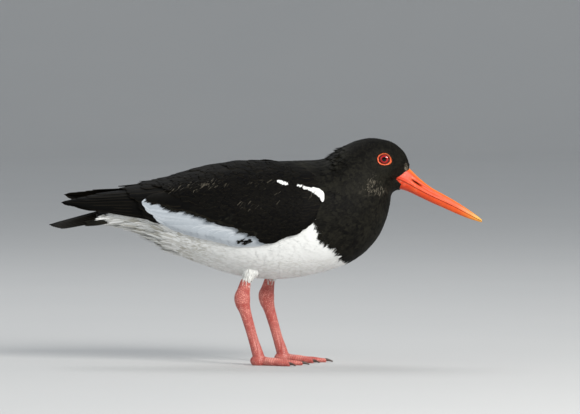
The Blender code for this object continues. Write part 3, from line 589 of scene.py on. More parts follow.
def mixed(tree, share, a, b):
    """A colour between two by a share."""
    a, b = ((*x, 1) if isinstance(x, tuple) and len(x) == 3 else x for x in (a, b))
    return add_node(tree, "ShaderNodeMix", {0: share, 6: a, 7: b}, data_type="RGBA").outputs[2]


def noise(tree, vector, scale, detail=2.0, roughness=0.5):
    """Soft noise between about 0.3 and 0.7."""
    values = {"Vector": vector, "Scale": scale, "Detail": detail, "Roughness": roughness}
    return add_node(tree, "ShaderNodeTexNoise", values).outputs["Fac"]


def vector(tree, x, y, z=0.0):
    """A vector of three values."""
    return add_node(tree, "ShaderNodeCombineXYZ", {0: x, 1: y, 2: z}).outputs[0]


def object_place(tree):
    """The place in the object, in metres."""
    return add_node(tree, "ShaderNodeTexCoord").outputs["Object"]


def bump(tree, shader, height, strength, distance):
    """Gives the shader a fine relief."""
    made = add_node(tree, "ShaderNodeBump", {"Strength": strength, "Distance": distance, "Height": height})
    tree.links.new(made.outputs["Normal"], shader.inputs["Normal"])


def plumage_finish(name, deep, light, pale, roughness, barbs=0.3, contrast=1.0, **sockets):
    """Feathers: each has its own tone, with fine streaks along it and a share of some in a second colour:
    paler on the black, and on the white a grey-beige of stains and painted shade.
    """
    finish, tree, shader = new_finish(name, light, roughness, **sockets)
    tone, share, side = (number(tree, key) for key in ("tone", "share", "side"))
    place = vector(tree, times(tree, side, 5.0), share, times(tree, tone, 40.0))
    streak = noise(tree, place, 2.2, 3.0)
    patches = noise(tree, object_place(tree), 55.0, 2.0)
    level = plus(tree, times(tree, tone, 0.5), times(tree, patches, 0.5))
    level = plus(tree, level, ranged(tree, streak, 0.3, 0.7, -0.25, 0.25))
    colour = mixed(tree, ranged(tree, level, 0.5 - 0.5 / contrast, 0.5 + 0.5 / contrast), deep, light)
    colour = mixed(tree, number(tree, "pale"), colour, pale)
    tree.links.new(colour, shader.inputs["Base Color"])
    gloss = ranged(tree, streak, 0.3, 0.7, roughness - 0.08, roughness + 0.1)
    tree.links.new(gloss, shader.inputs["Roughness"])
    bump(tree, shader, streak, barbs, 0.00015)
    return finish


def vane_finish(name, deep, light, edge, roughness, barbs=0.35, **sockets):
    """Large feathers: barbs run slantwise from the shaft, and the vane's margin is worn paler."""
    finish, tree, shader = new_finish(name, light, roughness, **sockets)
    tone, side, barb = (number(tree, key) for key in ("tone", "side", "barb"))
    place = vector(tree, barb, times(tree, side, 0.35), times(tree, tone, 30.0))
    lines = noise(tree, place, 1.6, 2.0)
    level = plus(tree, times(tree, tone, 0.6), ranged(tree, lines, 0.3, 0.7, -0.1, 0.4))
    colour = mixed(tree, level, deep, light)
    margin = ranged(tree, maths(tree, "ABSOLUTE", side), 0.8, 1.0)
    colour = mixed(tree, times(tree, margin, 0.7), colour, edge)
    tree.links.new(colour, shader.inputs["Base Color"])
    bump(tree, shader, lines, barbs, 0.0002)
    return finish


BLACK = plumage_finish(
    "black_feathers", (0.0020, 0.0020, 0.0021), (0.0165, 0.0155, 0.0112), (0.34, 0.30, 0.23), 0.6,
    contrast=1.35,
    Specular_IOR_Level=0.06,
)
# The white's second colour, a grey-beige, carries stains and painted shade
WHITE = plumage_finish(
    "white_feathers", (0.82, 0.825, 0.81), (0.90, 0.905, 0.89), (0.44, 0.42, 0.35), 0.75, barbs=0.05,
    Specular_IOR_Level=0.15,
)
BLACK_VANE = vane_finish(
    "black_vanes", (0.0016, 0.0016, 0.0019), (0.0060, 0.0055, 0.0042), (0.022, 0.018, 0.012), 0.6,
    Specular_IOR_Level=0.045,
)
# The white panel's vanes are painted a darker bluish grey, a painted shade over their white
SHADED_WHITE_VANE = vane_finish(
    "shaded_white_vanes", (0.40, 0.44, 0.48), (0.54, 0.58, 0.62), (0.66, 0.69, 0.72), 0.7, barbs=0.35,
    Specular_IOR_Level=0.12,
)


def side_outline(x, table, column):
    """A column of the table at x, for a table whose first column falls."""
    rows = np.array(sorted(table))
    return np.interp(x, rows[:, 0], rows[:, column])


# Where black meets white on the breast's side, as x by z
BREAST_LINE = [
    (80.0, 75.0), (89.7, 71.5), (95.9, 65.5), (102.9, 62.0), (106.0, 55.5), (114.1, 47.5), (124.2, 44.5),
    (140.0, 38.0),
    (155.0, 30.0),
]
# x and the height up to which the flank is white there, and x behind which all of the rump is
FLANK_TOP = ([-150, -100, -50, 0, 60], [133, 138, 140, 140, 150])
MANTLE_REAR = -116.0


def white_on_body(points, stray=0.0):
    """Whether the body's plumage is white at the points."""
    x, _, z = np.moveaxis(points, -1, 0)
    heights, places = np.array(BREAST_LINE).T
    line = np.interp(z, heights, places) + stray
    return ((x < line) & (z < np.interp(x, *FLANK_TOP))) | (x < MANTLE_REAR + stray)


# What the wings hide: x at the front and the rear, and how far inside the wings' edges
HIDDEN_FRONT, HIDDEN_REAR, HIDDEN_OUT, HIDDEN_ABOVE = 40, -132, 7, 8


def under_wing(points):
    """Whether the folded wing hides the body's surface there."""
    x, y, z = np.moveaxis(points, -1, 0)
    out = side_outline(x, WING_EDGES, 1)
    low = side_outline(x, WING_EDGES, 2)
    return (x < HIDDEN_FRONT) & (x > HIDDEN_REAR) & (np.abs(y) > out + HIDDEN_OUT) & (z > low + HIDDEN_ABOVE)


def lid_share(points):
    """Distance from the eye in the side view, as a share of the eyelid's outline, and the way from the eye."""
    dx, dz = points[..., 0] - EYE[0], points[..., 2] - EYE[1]
    turn = np.arctan2(dz / LID_HALF_HEIGHT, dx / LID_HALF_LENGTH)
    reach = 1 + LID_CORNER * np.maximum(0.0, np.cos(turn - LID_CORNER_DIRECTION)) ** 8
    share = np.hypot(dx / LID_HALF_LENGTH, dz / LID_HALF_HEIGHT) / reach
    away = unit(np.stack([dx, 0 * dx, dz], axis=-1))
    return share, away


SCATTER_GRID, LEAST_STEP = 500, 0.05


def scatter(surface, u_from, u_to, spacing_along, spacing_across):
    """Roots in staggered rows, so far apart along and across as the two functions of (u, v) say."""
    us, vs, u = [], [], u_from
    grid = np.linspace(0.0, surface.columns - 1, SCATTER_GRID)
    while u < u_to:
        _, _, along, across = surface.at(np.full_like(grid, u), grid)
        density = np.linalg.norm(across, axis=-1) / spacing_across(u, grid)
        total = np.concatenate([[0], np.cumsum((density[1:] + density[:-1]) / 2 * np.diff(grid))])
        n = max(3, int(total[-1]))
        places = np.interp((np.arange(n) + rng.random()) * total[-1] / n, total, grid)
        pace = spacing_along(u, grid) / np.maximum(np.linalg.norm(along, axis=-1), 1e-6)
        step = max(pace.min(), LEAST_STEP)
        kept = rng.random(n) < np.interp(places, grid, step / pace)
        places = places[kept]
        us.append(u + rng.uniform(-0.45, 0.45, len(places)) * step)
        vs.append(places + rng.uniform(-0.3, 0.3, len(places)) * (surface.columns - 1) / n)
        u += step
    return np.concatenate(us), np.concatenate(vs)


def waves(points, size, seed):
    """A smooth field between -1 and 1 that wanders over so many millimetres."""
    x, y, z = np.moveaxis(points, -1, 0) / size
    ahead = np.sin(x * 2.1 + seed + 1.7 * np.sin(z * 1.3 + y))
    upward = np.sin(z * 2.7 - seed * 1.3 + 1.5 * np.sin(x * 1.1))
    return (ahead + upward) / 2


def by_place(u, values):
    """Values at a u from a table over COAT_PLACES."""
    return np.interp(place_of(u), COAT_PLACES, values)


# The body's coat: where it ends, x of its roots below and above and of its tips; roots so far apart, as
# shares of a feather's length and width; how much single feathers differ from the size of their place
LAST_COAT_PLACE, COAT_END_UNDER, COAT_END_OVER, TIPS_END = -0.9, -139, -131, -151
ROOTS_ALONG, ROOTS_ACROSS, SIZE_STRAY = 0.205, 0.53, (0.85, 1.15)
# x and places ahead of which the head and the face begin, and the bare rims by the bill and the lids
HEAD_FRONT, HEAD_PLACE, FACE_PLACE = 100, 13, 14
BARE_BY_BILL, BARE_ON_CULMEN, BARE_BY_LID = 0.3, 0.6, 1.06
# Height of the feathers' tips by place, and the places that the breast's and the nape's looser feathers
# rise between
TIP_PLACES, TIP_HEIGHTS = [-2, 0, 10, 14, 19], [0.1, 0.25, 0.25, 0.2, 0.15]
BREAST_PLACES, NAPE_PLACES = (7.0, 9.5, 12.5, 14.5), (10.5, 11.0, 11.8, 12.5)
VENT_PLACES, TUFTS_MIDDLE, TUFTS_REACH, TUFTED_SHARE = (-1, 4.5), -82, 17, 0.1
# Pale spot at the bill's root and pale part of the cheek: middle x and z, reach along x and z
PALE_SPOT, PALE_CHEEK = (122.8, 172.6, 1.3, 2.2), (95, 159.5, 8.5, 8.5)
# By place, from and to: the number of strips of a feather, and the group that it joins where it is black
STRIPS_BY_PLACE = [
    (14.6, 99, 1, "head"), (13.4, 14.6, 3, "head"), (11.8, 13.4, 5, "neck"), (10.4, 11.8, 8, "neck"),
    (-99, 10.4, 11, "black"),
]
FINE_THICKNESS = 0.1
BODY_FEATHERS = {
    "white": {"thickness": 0.03, "rough": 0.012, "camber": 0.005, "overlap": 2.2, "ragged": 0.3},
    "black": {"thickness": 0.08, "rough": 0.03, "camber": 0.02, "overlap": 1.8, "ragged": 0.2},
}


def coat_roots():
    """u and v of the body's feathers, but for the bill, the lids and what the wings hide."""
    u, v = scatter(
        BODY, 0.5, u_of(LAST_COAT_PLACE), lambda u, v: ROOTS_ALONG * by_place(u, COAT_LENGTH),
        lambda u, v: ROOTS_ACROSS * by_place(u, COAT_WIDTH),
    )
    points, normal, _, _ = BODY.at(u, v)
    x, _, z = points.T
    in_bill = (behind_face(x, z) < BARE_BY_BILL) & (x > HEAD_FRONT)
    above_bill = z > np.interp(x, *np.array(BILL_SECTIONS)[:, :2].T) + BARE_ON_CULMEN
    on_lid = (lid_share(points)[0] < BARE_BY_LID) & (place_of(u) > HEAD_PLACE)
    keep = ~(in_bill & ~above_bill) & ~on_lid & ~under_wing(points)
    keep &= x > np.where(normal[:, 2] < -0.5, COAT_END_UNDER, COAT_END_OVER)
    return u[keep], v[keep]


def near_spot(points, spot):
    """1 in the middle of a spot of the side view, and less round it."""
    x, z, wide, high = spot
    return np.exp(-(((points[:, 0] - x) / wide) ** 2) - ((points[:, 2] - z) / high) ** 2)


def within(x, rise_from, rise_to, fall_from, fall_to):
    """1 between two edges, with smooth flanks."""
    return smooth(x, rise_from, rise_to) * (1 - smooth(x, fall_from, fall_to))


def body_coat():
    """Batches of feathers over the whole body: black and white, by part of the body."""
    u, v = coat_roots()
    count, place = len(u), place_of(u)
    points, normal, along, across = BODY.at(u, v)
    x, _, z = points.T
    # Size, and the lie, which parts round the eye
    length = by_place(u, COAT_LENGTH) * rng.uniform(*SIZE_STRAY, count)
    spot = 1.1 * near_spot(points, PALE_SPOT)
    spot = np.where(spot > 0.12, spot, 0.0)
    length = np.where(spot > 0, 0.5 * length, length)
    near_tip_of_face = (place > FACE_PLACE) & (np.linalg.norm(across, axis=-1) * 22.0 < length)
    width = by_place(u, COAT_WIDTH) * rng.uniform(*SIZE_STRAY, count)
    swing = 0.12 * waves(points, 18, 1.0) + rng.normal(0, 0.06, count)
    forward = unit(along)
    wanted = forward * np.cos(swing)[:, None] + np.cross(normal, forward) * np.sin(swing)[:, None]
    share, away = lid_share(points)
    near_eye = np.clip((2.3 - share) / 1.2, 0, 1)[:, None] * (place > HEAD_PLACE)[:, None]
    wanted = unit(wanted - near_eye * np.minimum(dot(wanted, away), 0) * away)
    # Black or white, by where the feather shows, and how deep it lies
    breast = within(place, *BREAST_PLACES) * smooth(-normal[:, 2] + normal[:, 0], 0.2, 1.0)
    tip = np.interp(place, TIP_PLACES, TIP_HEIGHTS) - 0.8 * breast
    shown, _, _, _ = BODY.at(u + 0.65 * length / np.maximum(np.linalg.norm(along, axis=-1), 1e-6), v)
    on_breast = smooth(shown[:, 0], 20, 35)
    stray = rng.normal(0, 1, count) * (1.2 - 0.9 * on_breast) - 1.0 * on_breast
    white = white_on_body(shown, stray) & (place < 12)
    rooted_in_black = white & ~white_on_body(points)
    depth = by_place(u, COAT_DEPTH)
    depth = np.where(white, np.where(rooted_in_black, 1.2, 0.55) * depth, 0.8 * depth)
    tip = np.where(white, tip - 0.12 - 0.15 * rooted_in_black, tip)
    # Long loose feathers of the vent, with some tufts, and raised ones of the nape
    vent = (place > VENT_PLACES[0]) & (place < VENT_PLACES[1]) & (normal[:, 2] < -0.3)
    length = np.where(vent, length * rng.uniform(1.0, 1.5, count), length)
    stand = np.where(vent, 4.5 * rng.random(count) ** 4, 0.0)
    stand = stand + 0.3 * rng.random(count) ** 3 * smooth(place, 3, 9)
    nape = within(place, *NAPE_PLACES) * smooth(normal[:, 2], 0.35, 0.8)
    stand = stand + 3.8 * nape * rng.random(count) ** 1.5
    tufted = vent & (normal[:, 2] < -0.6) & (np.abs(x - TUFTS_MIDDLE) < TUFTS_REACH)
    tufted &= rng.random(count) < TUFTED_SHARE
    length = np.where(tufted, 1.3 * length, length)
    length = np.minimum(length, np.maximum(x - TIPS_END, 6.0))
    stand = np.where(tufted, rng.uniform(2.5, 6.5, count), stand)
    # Paler shares of the black, and grey-beige shares of the white, partly stains and partly painted shade
    cheek = near_spot(points, PALE_CHEEK)
    pale = np.clip(0.1 * (rng.random(count) < 0.5 * cheek) * cheek + spot, 0, 1)
    # Low on the belly by the legs: partly stain, partly a painted reflection of the legs
    stain_and_shade = 0.3 * (z < 95) * rng.random(count) * smooth(x, -40, 10)
    # Towards the rear the white greys: partly stain, partly painted shade
    stain_and_shade = stain_and_shade + (0.3 + 0.6 * rng.random(count) ** 2) * smooth(-x, 0, 70)
    pale = np.where(white, stain_and_shade, pale)
    tone = np.clip(rng.random(count) + 0.25 * waves(points, 22, 4.0), 0, 1)
    found = {"head": [], "neck": [], "black": [], "white": []}
    for low, high, strips, group in STRIPS_BY_PLACE:
        for paint, painted in (("white", white), ("black", ~white)):
            chosen = (place > low) & (place <= high) & painted & ~near_tip_of_face
            if not chosen.any():
                continue
            settings = dict(BODY_FEATHERS[paint])
            if strips < 3:
                settings["thickness"] = FINE_THICKNESS
            found["white" if paint == "white" else group].append(feathers(
                BODY, u[chosen], v[chosen], 0.0, length[chosen], width[chosen], strips, -depth[chosen],
                tip[chosen],
                short=True, stand=stand[chosen], wanted=wanted[chosen], tone=tone[chosen], pale=pale[chosen],
                **settings,
            ))
    return found


# Middle of the breast's ragged border, as x and z, from its top down; tufts there and hairs on the cheek of
# a side
BREAST_TUFTS, CHEEK_HAIRS = 130, 84
BREAST_BORDER = [(44.5, 122.0), (46.5, 115.0), (51.0, 108.5), (57.5, 105.0), (63.0, 99.0), (68.0, 91.0)]


def downward(ahead):
    """Directions that lead down the side view, and so far ahead."""
    return np.stack([ahead, np.zeros(len(ahead)), -np.ones(len(ahead))], axis=-1)


def breast_fringe():
    """Thin black tufts that hang over the white at the breast's border."""
    made = []
    count = BREAST_TUFTS
    for side in SIDES:
        share = rng.random(count) ** 1.3 * (len(BREAST_BORDER) - 1)
        middle = curve_through(BREAST_BORDER, share)
        x = middle[:, 0] + rng.normal(0.8, 1.2, count)
        z = middle[:, 1] + rng.normal(2.0, 1.2, count)
        u, v = body_place(x, z, side, 4, 11)
        down = downward(rng.normal(-0.45, 0.18, count) - 0.12 * share)
        made.append(feathers(
            BODY, u, v, 0.0, rng.uniform(2.5, 7.0, count), rng.uniform(0.35, 0.95, count), 2, -0.4,
            rng.uniform(0.35, 0.7, count), wanted=down, thickness=0.08, ragged=0.3, tone=rng.random(count),
            pale=0.0 * x,
        ))
    return made


# Where pale streaks lie on the cheek, as x and z, and the place that some lie nearer to
CHEEK_MIDDLE = (98.0, 160.0)
CHEEK_ARC = [(96.0, 166.5), (89.0, 162.5), (87.5, 157.5), (92.0, 153.5), (99.5, 152.5), (104.5, 155.0)]


def cheek_hairs():
    """Thin pale streaks on the cheek and throat."""
    made = []
    count = CHEEK_HAIRS
    for side in SIDES:
        middle = curve_through(CHEEK_ARC, rng.random(count) * (len(CHEEK_ARC) - 1))
        inward = rng.random(count)[:, None] ** 3 * 0.6
        middle = middle + (np.array(CHEEK_MIDDLE) - middle) * inward
        x, z = middle[:, 0] + rng.normal(1.5, 1.3, count), middle[:, 1] + rng.normal(1.5, 1.3, count)
        u, v = body_place(x, z, side)
        down = downward(rng.normal(-0.75, 0.25, count))
        made.append(feathers(
            BODY, u, v, 0.0, rng.uniform(2.5, 6.0, count), rng.uniform(0.2, 0.36, count), 1, -0.35,
            rng.uniform(0.1, 0.3, count), thickness=0.06, wanted=down, kink=0.03,
            pale=0.95 * rng.random(count) ** 1.2,
            tone=rng.random(count),
        ))
    return made


def body_place(x, z, side, low=10, high=18):
    """u and v of the points of the body, from place low to high, nearest to points of the side view."""
    first, last = int(u_of(high)), int(u_of(low))
    v_first, v_last = (0, BODY_COLUMNS // 2) if side == LEFT else (BODY_COLUMNS // 2, BODY_COLUMNS)
    points = BODY.values[first:last, v_first:v_last, 0:3]
    us, vs = [], []
    for px, pz in zip(x, z):
        away = (points[..., 0] - px) ** 2 + (points[..., 2] - pz) ** 2
        i, j = np.unravel_index(np.argmin(away), away.shape)
        us.append(first + i + 0.0)
        vs.append(v_first + j + 0.0)
    return np.array(us), np.array(vs)


def keep_part(batch, mask):
    """The feathers of a batch for which the mask is true."""
    return {key: (value if key in ("faces", "upper") else value[mask]) for key, value in batch.items()}


# x of the line between the front and the rear piece of the belly's coat
BELLY_MIDDLE = -25.0


def make_body_coat():
    """The coats of head, neck, breast and belly."""
    found = body_coat()
    found["black"] += breast_fringe()
    add_coat("head_coat", found["head"], BLACK, ("head",))
    add_coat("neck_coat", found["neck"] + cheek_hairs(), BLACK, ("neck", "head"))
    for side, name in SIDES.items():
        breast = [keep_part(batch, batch["points"][:, 0, 1] * side >= 0) for batch in found["black"]]
        add_coat(f"breast_coat_{name}", breast, BLACK, ("torso", "neck"))
        belly = [keep_part(batch, batch["points"][:, 0, 1] * side >= 0) for batch in found["white"]]
        for part, ahead in (("front", True), ("rear", False)):
            there = [keep_part(batch, (batch["points"][:, 0, 0] >= BELLY_MIDDLE) == ahead) for batch in belly]
            add_coat(f"belly_coat_{part}_{name}", there, WHITE, ("torso", "tail"))


# The skin: every so many rows and columns of the body, its depth under the coat's roots, voxels and smoothing
SKIN_STEP, SKIN_UNDER_ROOTS, SKIN_END_PLACE = 4, 0.35, -0.1
SKIN_VOXEL, SKIN_ROUNDS, THIGH_SKIN_DEPTH = 1.3, 3, -1.5
# Where the skin stays black: ahead on the wing's arm, and round the tail's root
WING_ARM_FROM_Y = 20
TAIL_ROOT_X, TAIL_ROOT_TOP_X, TAIL_ROOT_Z, RUMP_TOP_Z = -141, -136, 132, 147


def skin_is_white(points):
    """Whether the skin under the coat is white at the points."""
    x, y, z = points.T
    white = white_on_body(points) & ~(under_wing(points) & (np.abs(y) > WING_ARM_FROM_Y))
    white |= (z < 90) & (x < 30)
    return white & (x > TAIL_ROOT_X) & ((x > TAIL_ROOT_TOP_X) | (z < TAIL_ROOT_Z)) & (z < RUMP_TOP_Z)


def make_skin():
    """One skin under the coat of body, wings and thighs."""
    rows = np.arange(0, int(u_of(SKIN_END_PLACE)), SKIN_STEP)
    grid = BODY.values[rows][:, np.arange(0, BODY.columns - 1, SKIN_STEP)]
    depth = np.interp(place_of(rows), COAT_PLACES, COAT_DEPTH)[:, None, None] + SKIN_UNDER_ROOTS
    forms = [ring_mesh(grid[..., 0:3] - grid[..., 3:6] * depth)]
    for side in SIDES:
        sections = curve_through(THIGH_SECTIONS, np.linspace(0, 3.9, 14))
        forms += [wing_core(side), ring_mesh(limb_rings(sections, 24, side, THIGH_SKIN_DEPTH))]
    firsts = np.cumsum([0] + [len(points) for points, _ in forms])
    points = np.concatenate([points for points, _ in forms])
    faces = [tuple(int(first) + i for i in face) for first, (_, faces) in zip(firsts, forms) for face in faces]
    mesh = bpy.data.meshes.new("skin")
    mesh.from_pydata((points * MM).tolist(), [], faces)
    skin = remeshed(linked("skin", mesh), SKIN_VOXEL, SKIN_ROUNDS, triangles=False)
    set_numbers(skin.data, {"white": skin_is_white(mesh_arrays(skin.data)[0])})
    finish, tree, shader = new_finish("skin", (0.02, 0.02, 0.018), 0.8, Specular_IOR_Level=0.2)
    down = noise(tree, object_place(tree), 900.0, 3.0)
    colour = mixed(tree, number(tree, "white"), (0.012, 0.011, 0.010), (0.92, 0.92, 0.90))
    colour = mixed(tree, times(tree, down, 0.1), colour, (0.05, 0.045, 0.04))
    tree.links.new(colour, shader.inputs["Base Color"])
    bump(tree, shader, down, 0.5, 0.0004)
    skin.data.materials.append(finish)
    settle(skin, ("head", "neck", "torso", "tail", "thigh_right", "thigh_left"))


def ring_mesh(rings):
    """Points and faces of a closed form through rings of points."""
    rows, columns = rings.shape[:2]
    faces = []
    for i in range(rows - 1):
        for j in range(columns):
            k = (j + 1) % columns
            faces.append((i * columns + j, i * columns + k, (i + 1) * columns + k, (i + 1) * columns + j))
    faces.append(tuple(range(columns)))
    faces.append(tuple(range((rows - 1) * columns, rows * columns)))
    return rings.reshape(-1, 3), faces


def limb_rings(sections, sides, side, swell=0.0):
    """Rings of points round a leg's line, each (x, z, half depth, half width)."""
    middles = np.stack([
        sections[:, 0] + LEG_SHIFT[side], np.full(len(sections), side * LEG_SPREAD), sections[:, 1],
    ], axis=-1)
    run = unit(np.gradient(middles, axis=0))
    across = np.array([0.0, 1.0, 0.0])
    front = unit(np.cross(across, run))
    turn = np.linspace(0, 2 * np.pi, sides, endpoint=False)
    depth = (sections[:, 2] + swell)[:, None, None] * np.cos(turn)[None, :, None]
    width = (sections[:, 3] + swell)[:, None, None] * np.sin(turn)[None, :, None]
    return middles[:, None] + front[:, None] * depth + across * width


def wing_limits(x):
    """Turns, in degrees, of the wing's upper and lower edges at x."""
    out = side_outline(x, WING_EDGES, 1)
    upper = np.degrees(np.arcsin(np.clip(out / cloak_frame(x)[2], 0, 1)))
    return upper, np.degrees(lower_turn(x))


FRONT_PRESS, FRONT_FROM, FRONT_TO = 2.2, 36.0, 50.0


def front_press(x):
    """How far the wing's front bends in towards the body."""
    return FRONT_PRESS * smooth(x, FRONT_FROM, FRONT_TO)


# The wing's arm: x at its two ends, and the depths of its outer and inner face under the wing's form
CORE_FRONT, CORE_REAR, CORE_DEPTHS = 46, -128, (3.3, 6.5)


def wing_core(side):
    """The wing's arm, under its feathers."""
    surface = WINGS[side]
    x = np.linspace(CORE_FRONT, CORE_REAR, 40)
    upper, lower = wing_limits(x)
    grids = []
    for depth in CORE_DEPTHS:
        across = np.linspace(0.04, 0.97, 24)[None, :]
        turn = upper[:, None] + (lower - upper)[:, None] * across
        u, v = wing_uv(x[:, None] + 0 * turn, turn)
        points, normal, _, _ = surface.at(u, v)
        edge = 1.2 * np.abs(2 * across - 1) ** 6 + front_press(x)[:, None]
        thin = depth - (depth - CORE_DEPTHS[0]) * 0.45 * smooth(-x, 40, 110)[:, None]
        grids.append(points - normal * (thin + edge)[..., None])
    outer, inner = grids
    rings = np.concatenate([outer, inner[:, ::-1]], axis=1)
    return ring_mesh(rings)


def plate_faces(rows, columns):
    """Triangles of a closed plate whose upper grid of points comes first: upper ones, then the others."""
    upper, others, low = [], [], rows * columns
    for i in range(rows - 1):
        for j in range(columns - 1):
            a, b, c, d = i * columns + j, i * columns + j + 1, (i + 1) * columns + j + 1, (i + 1) * columns + j
            upper += [(a, b, c), (a, c, d)]
            others += [(low + a, low + c, low + b), (low + a, low + d, low + c)]
    rim = [(0, j) for j in range(columns)] + [(i, columns - 1) for i in range(1, rows)]
    rim += [(rows - 1, j) for j in range(columns - 2, -1, -1)] + [(i, 0) for i in range(rows - 2, 0, -1)]
    for (i, j), (k, m) in zip(rim, rim[1:] + rim[:1]):
        a, b = i * columns + j, k * columns + m
        others += [(a, low + b, b), (a, low + a, low + b)]
    return np.array(upper + others), len(upper)


VANE_ROWS, VANE_COLUMNS = 13, 7
VANE_FACES, VANE_UPPER = plate_faces(VANE_ROWS, VANE_COLUMNS)
BARB_SLANT, BARB_PITCH = 1.3, 0.9
SMALL_THICKNESS = 0.14
VANE_PATCH = 0.012


def vane_outline(rounding, rows=None):
    """Shares along a vane, and the share of its full width at each."""
    shares = 1 - (1 - np.linspace(0, 1, rows or VANE_ROWS)) ** 1.5
    base = 0.4 + 0.6 * smooth(shares, 0.0, 0.4)
    end = np.sqrt(np.clip(1 - (np.clip(shares - rounding, 0, 1) / (1 - rounding)) ** 2, 0.006, 1))
    return shares, base * end


def vane_batch(top, normals, thickness, shares, sides, run, width, home, tone, pale, turned):
    """One closed vane of thin plate as a batch."""
    grids = np.concatenate([top.reshape(-1, 3), (top - normals * thickness).reshape(-1, 3)])
    count = shares.size
    length = np.linalg.norm(np.diff(run, axis=0), axis=-1).sum()
    barb = (shares * length - np.abs(sides) * width / 2 * BARB_SLANT) / BARB_PITCH
    double = lambda values: np.concatenate([values.ravel(), values.ravel()])[None]
    patch = VANE_PATCH * np.stack([double(sides) * 0.5, double(shares) - 0.5], axis=-1)
    faces = VANE_FACES[:, ::-1] if turned else VANE_FACES
    return {
        "points": grids[None], "faces": faces, "upper": VANE_UPPER,
        "home": np.broadcast_to(np.asarray(home, float), (1, 2 * count, 2)), "patch": patch,
        "tone": np.full((1, 2 * count), tone), "share": double(shares), "side": double(sides),
        "pale": double(pale + 0 * shares), "barb": double(barb),
    }


WING_VANE_THICKNESS, TAIL_VANE_THICKNESS = 0.22, 0.25
# How far a vane's edge rises over its neighbour, and the least distance between two vanes for that
VANE_STEP, LEAST_PITCH = 0.42, 3.5


def wing_vane(side, line, neighbour, width, root, tip, rounding):
    """A vane along a line (x and degrees of its root and tip) of the folded wing."""
    surface = WINGS[side]
    shares, broad = vane_outline(rounding)
    here_u, here_v = wing_uv(line[0] + (line[2] - line[0]) * shares, line[1] + (line[3] - line[1]) * shares)
    beside = wing_uv(
        neighbour[0] + (neighbour[2] - neighbour[0]) * shares,
        neighbour[1] + (neighbour[3] - neighbour[1]) * shares
    )
    here, normal, along, across = surface.at(here_u, here_v)
    run = unit(np.gradient(here, axis=0))
    down = unit(np.cross(normal, run))
    down = down * np.sign(dot(down, across))
    pitch = np.abs(dot(surface.at(*beside)[0] - here, down))
    slope = VANE_STEP / np.maximum(pitch, LEAST_PITCH)
    places = np.linspace(-1, 1, VANE_COLUMNS)[None, :] + 0 * shares[:, None]
    fray = 1 + rng.normal(0, VANE_FRAY, places.shape) * (np.abs(places) > FRAY_FROM)
    offset = places * fray * broad[:, None] * width / 2
    move = steps(along, across, down)
    u, v = here_u[:, None] + move[:, :1] * offset, here_v[:, None] + move[:, 1:] * offset
    half_width = cloak_frame(WING_X0 - u * (WING_X0 - WING_X1) / (WING_ROWS - 1))[2]
    lowest = np.degrees(np.arcsin(np.clip(0.4 / half_width, 0, 1)))
    v = np.maximum(v, wing_uv(0, lowest)[1])
    points, normals, _, _ = surface.at(u, v)
    shaft = 0.28 * np.exp(-((places / 0.11) ** 2)) * (1 - 0.6 * shares[:, None])
    height = root + (tip - root) * shares[:, None] + slope * offset - 0.25 * places**2 + shaft
    home = [here_v[0] / (surface.columns - 1), here_u[0] / (surface.rows - 1)]
    grid_shares = shares[:, None] + 0 * places
    return vane_batch(
        points + normals * height[..., None], normals, WING_VANE_THICKNESS, grid_shares, places, here,
        width, home,
        rng.random(), 0.0, side < 0,
    )


# Tiers of large vanes: count, width, height of root and of tip over the wing's form, where rounding starts
TIERS = {
    "primaries": (9, 9.5, -3.6, -0.9, 0.72),
    "secondaries": (10, 13.0, -3.3, -0.75, 0.78),
    "greater_coverts": (21, 14.0, -3.0, -0.2, 0.72),
    "median_coverts": (15, 12.5, -1.5, 0.3, 0.62),
}
# Root and tip (x and degrees down from the back) of the lowest, the middle and the highest vane of each tier
TIER_LINES = {
    "primaries": [(-92, 107, -170, 82), (-92, 68, -180, 58), (-90, 38, -152, 24)],
    "secondaries": [(-44, 92, -106, 97), (-42, 62, -115, 66), (-44, 18, -130, 15)],
    "greater_coverts": [
        (8, 108, -36, 113), (-14, 105, -60, 111.5), (-40, 102, -87, 106), (-52, 93, -100, 90),
        (-60, 84, -108, 70),
    ],
    "median_coverts": [(22, 94, -10, 105), (-12, 83, -42, 90.5), (-38, 74, -72, 81), (-64, 58, -104, 64)],
}
WHITE_TIERS = {"greater_coverts"}
# Lines on the wing in x and degrees: lower edge of the scapulars, and upper edge of the white panel
SCAPULAR_EDGE = [
    (52, 60), (41.6, 57), (34.3, 52), (17.5, 40), (8.5, 48), (-8.3, 45), (-25.2, 44), (-42.2, 40), (-80, 34),
]
PANEL_EDGE = [
    (40, 124), (8, 116.5), (-7.9, 112), (-19.4, 109), (-23.8, 106), (-28.2, 102), (-39.6, 99), (-50.2, 98),
    (-59, 95),
    (-67.8, 91), (-76.6, 87), (-85.4, 86), (-94.2, 81), (-103, 73), (-107.8, 69),
]
# White that shows below the scapulars: x and z of its middle line, and its half width
SHOULDER_MARKS = [
    [(10.5, 161.8, 0.2), (13.5, 161.2, 0.75), (16.0, 160.5, 0.6), (18.6, 159.7, 0.15)],
    [
        (26.5, 159.4, 0.2), (33.0, 157.1, 0.35), (38.0, 155.6, 0.6), (42.0, 155.0, 1.9), (46.0, 152.9, 3.0),
        (48.8, 150.0, 3.0), (49.2, 146.8, 1.2),
    ],
]


def edge_at(x, edge):
    """Degrees of an edge of the wing at x."""
    places, degrees = zip(*sorted(edge))
    return np.interp(x, places, degrees)


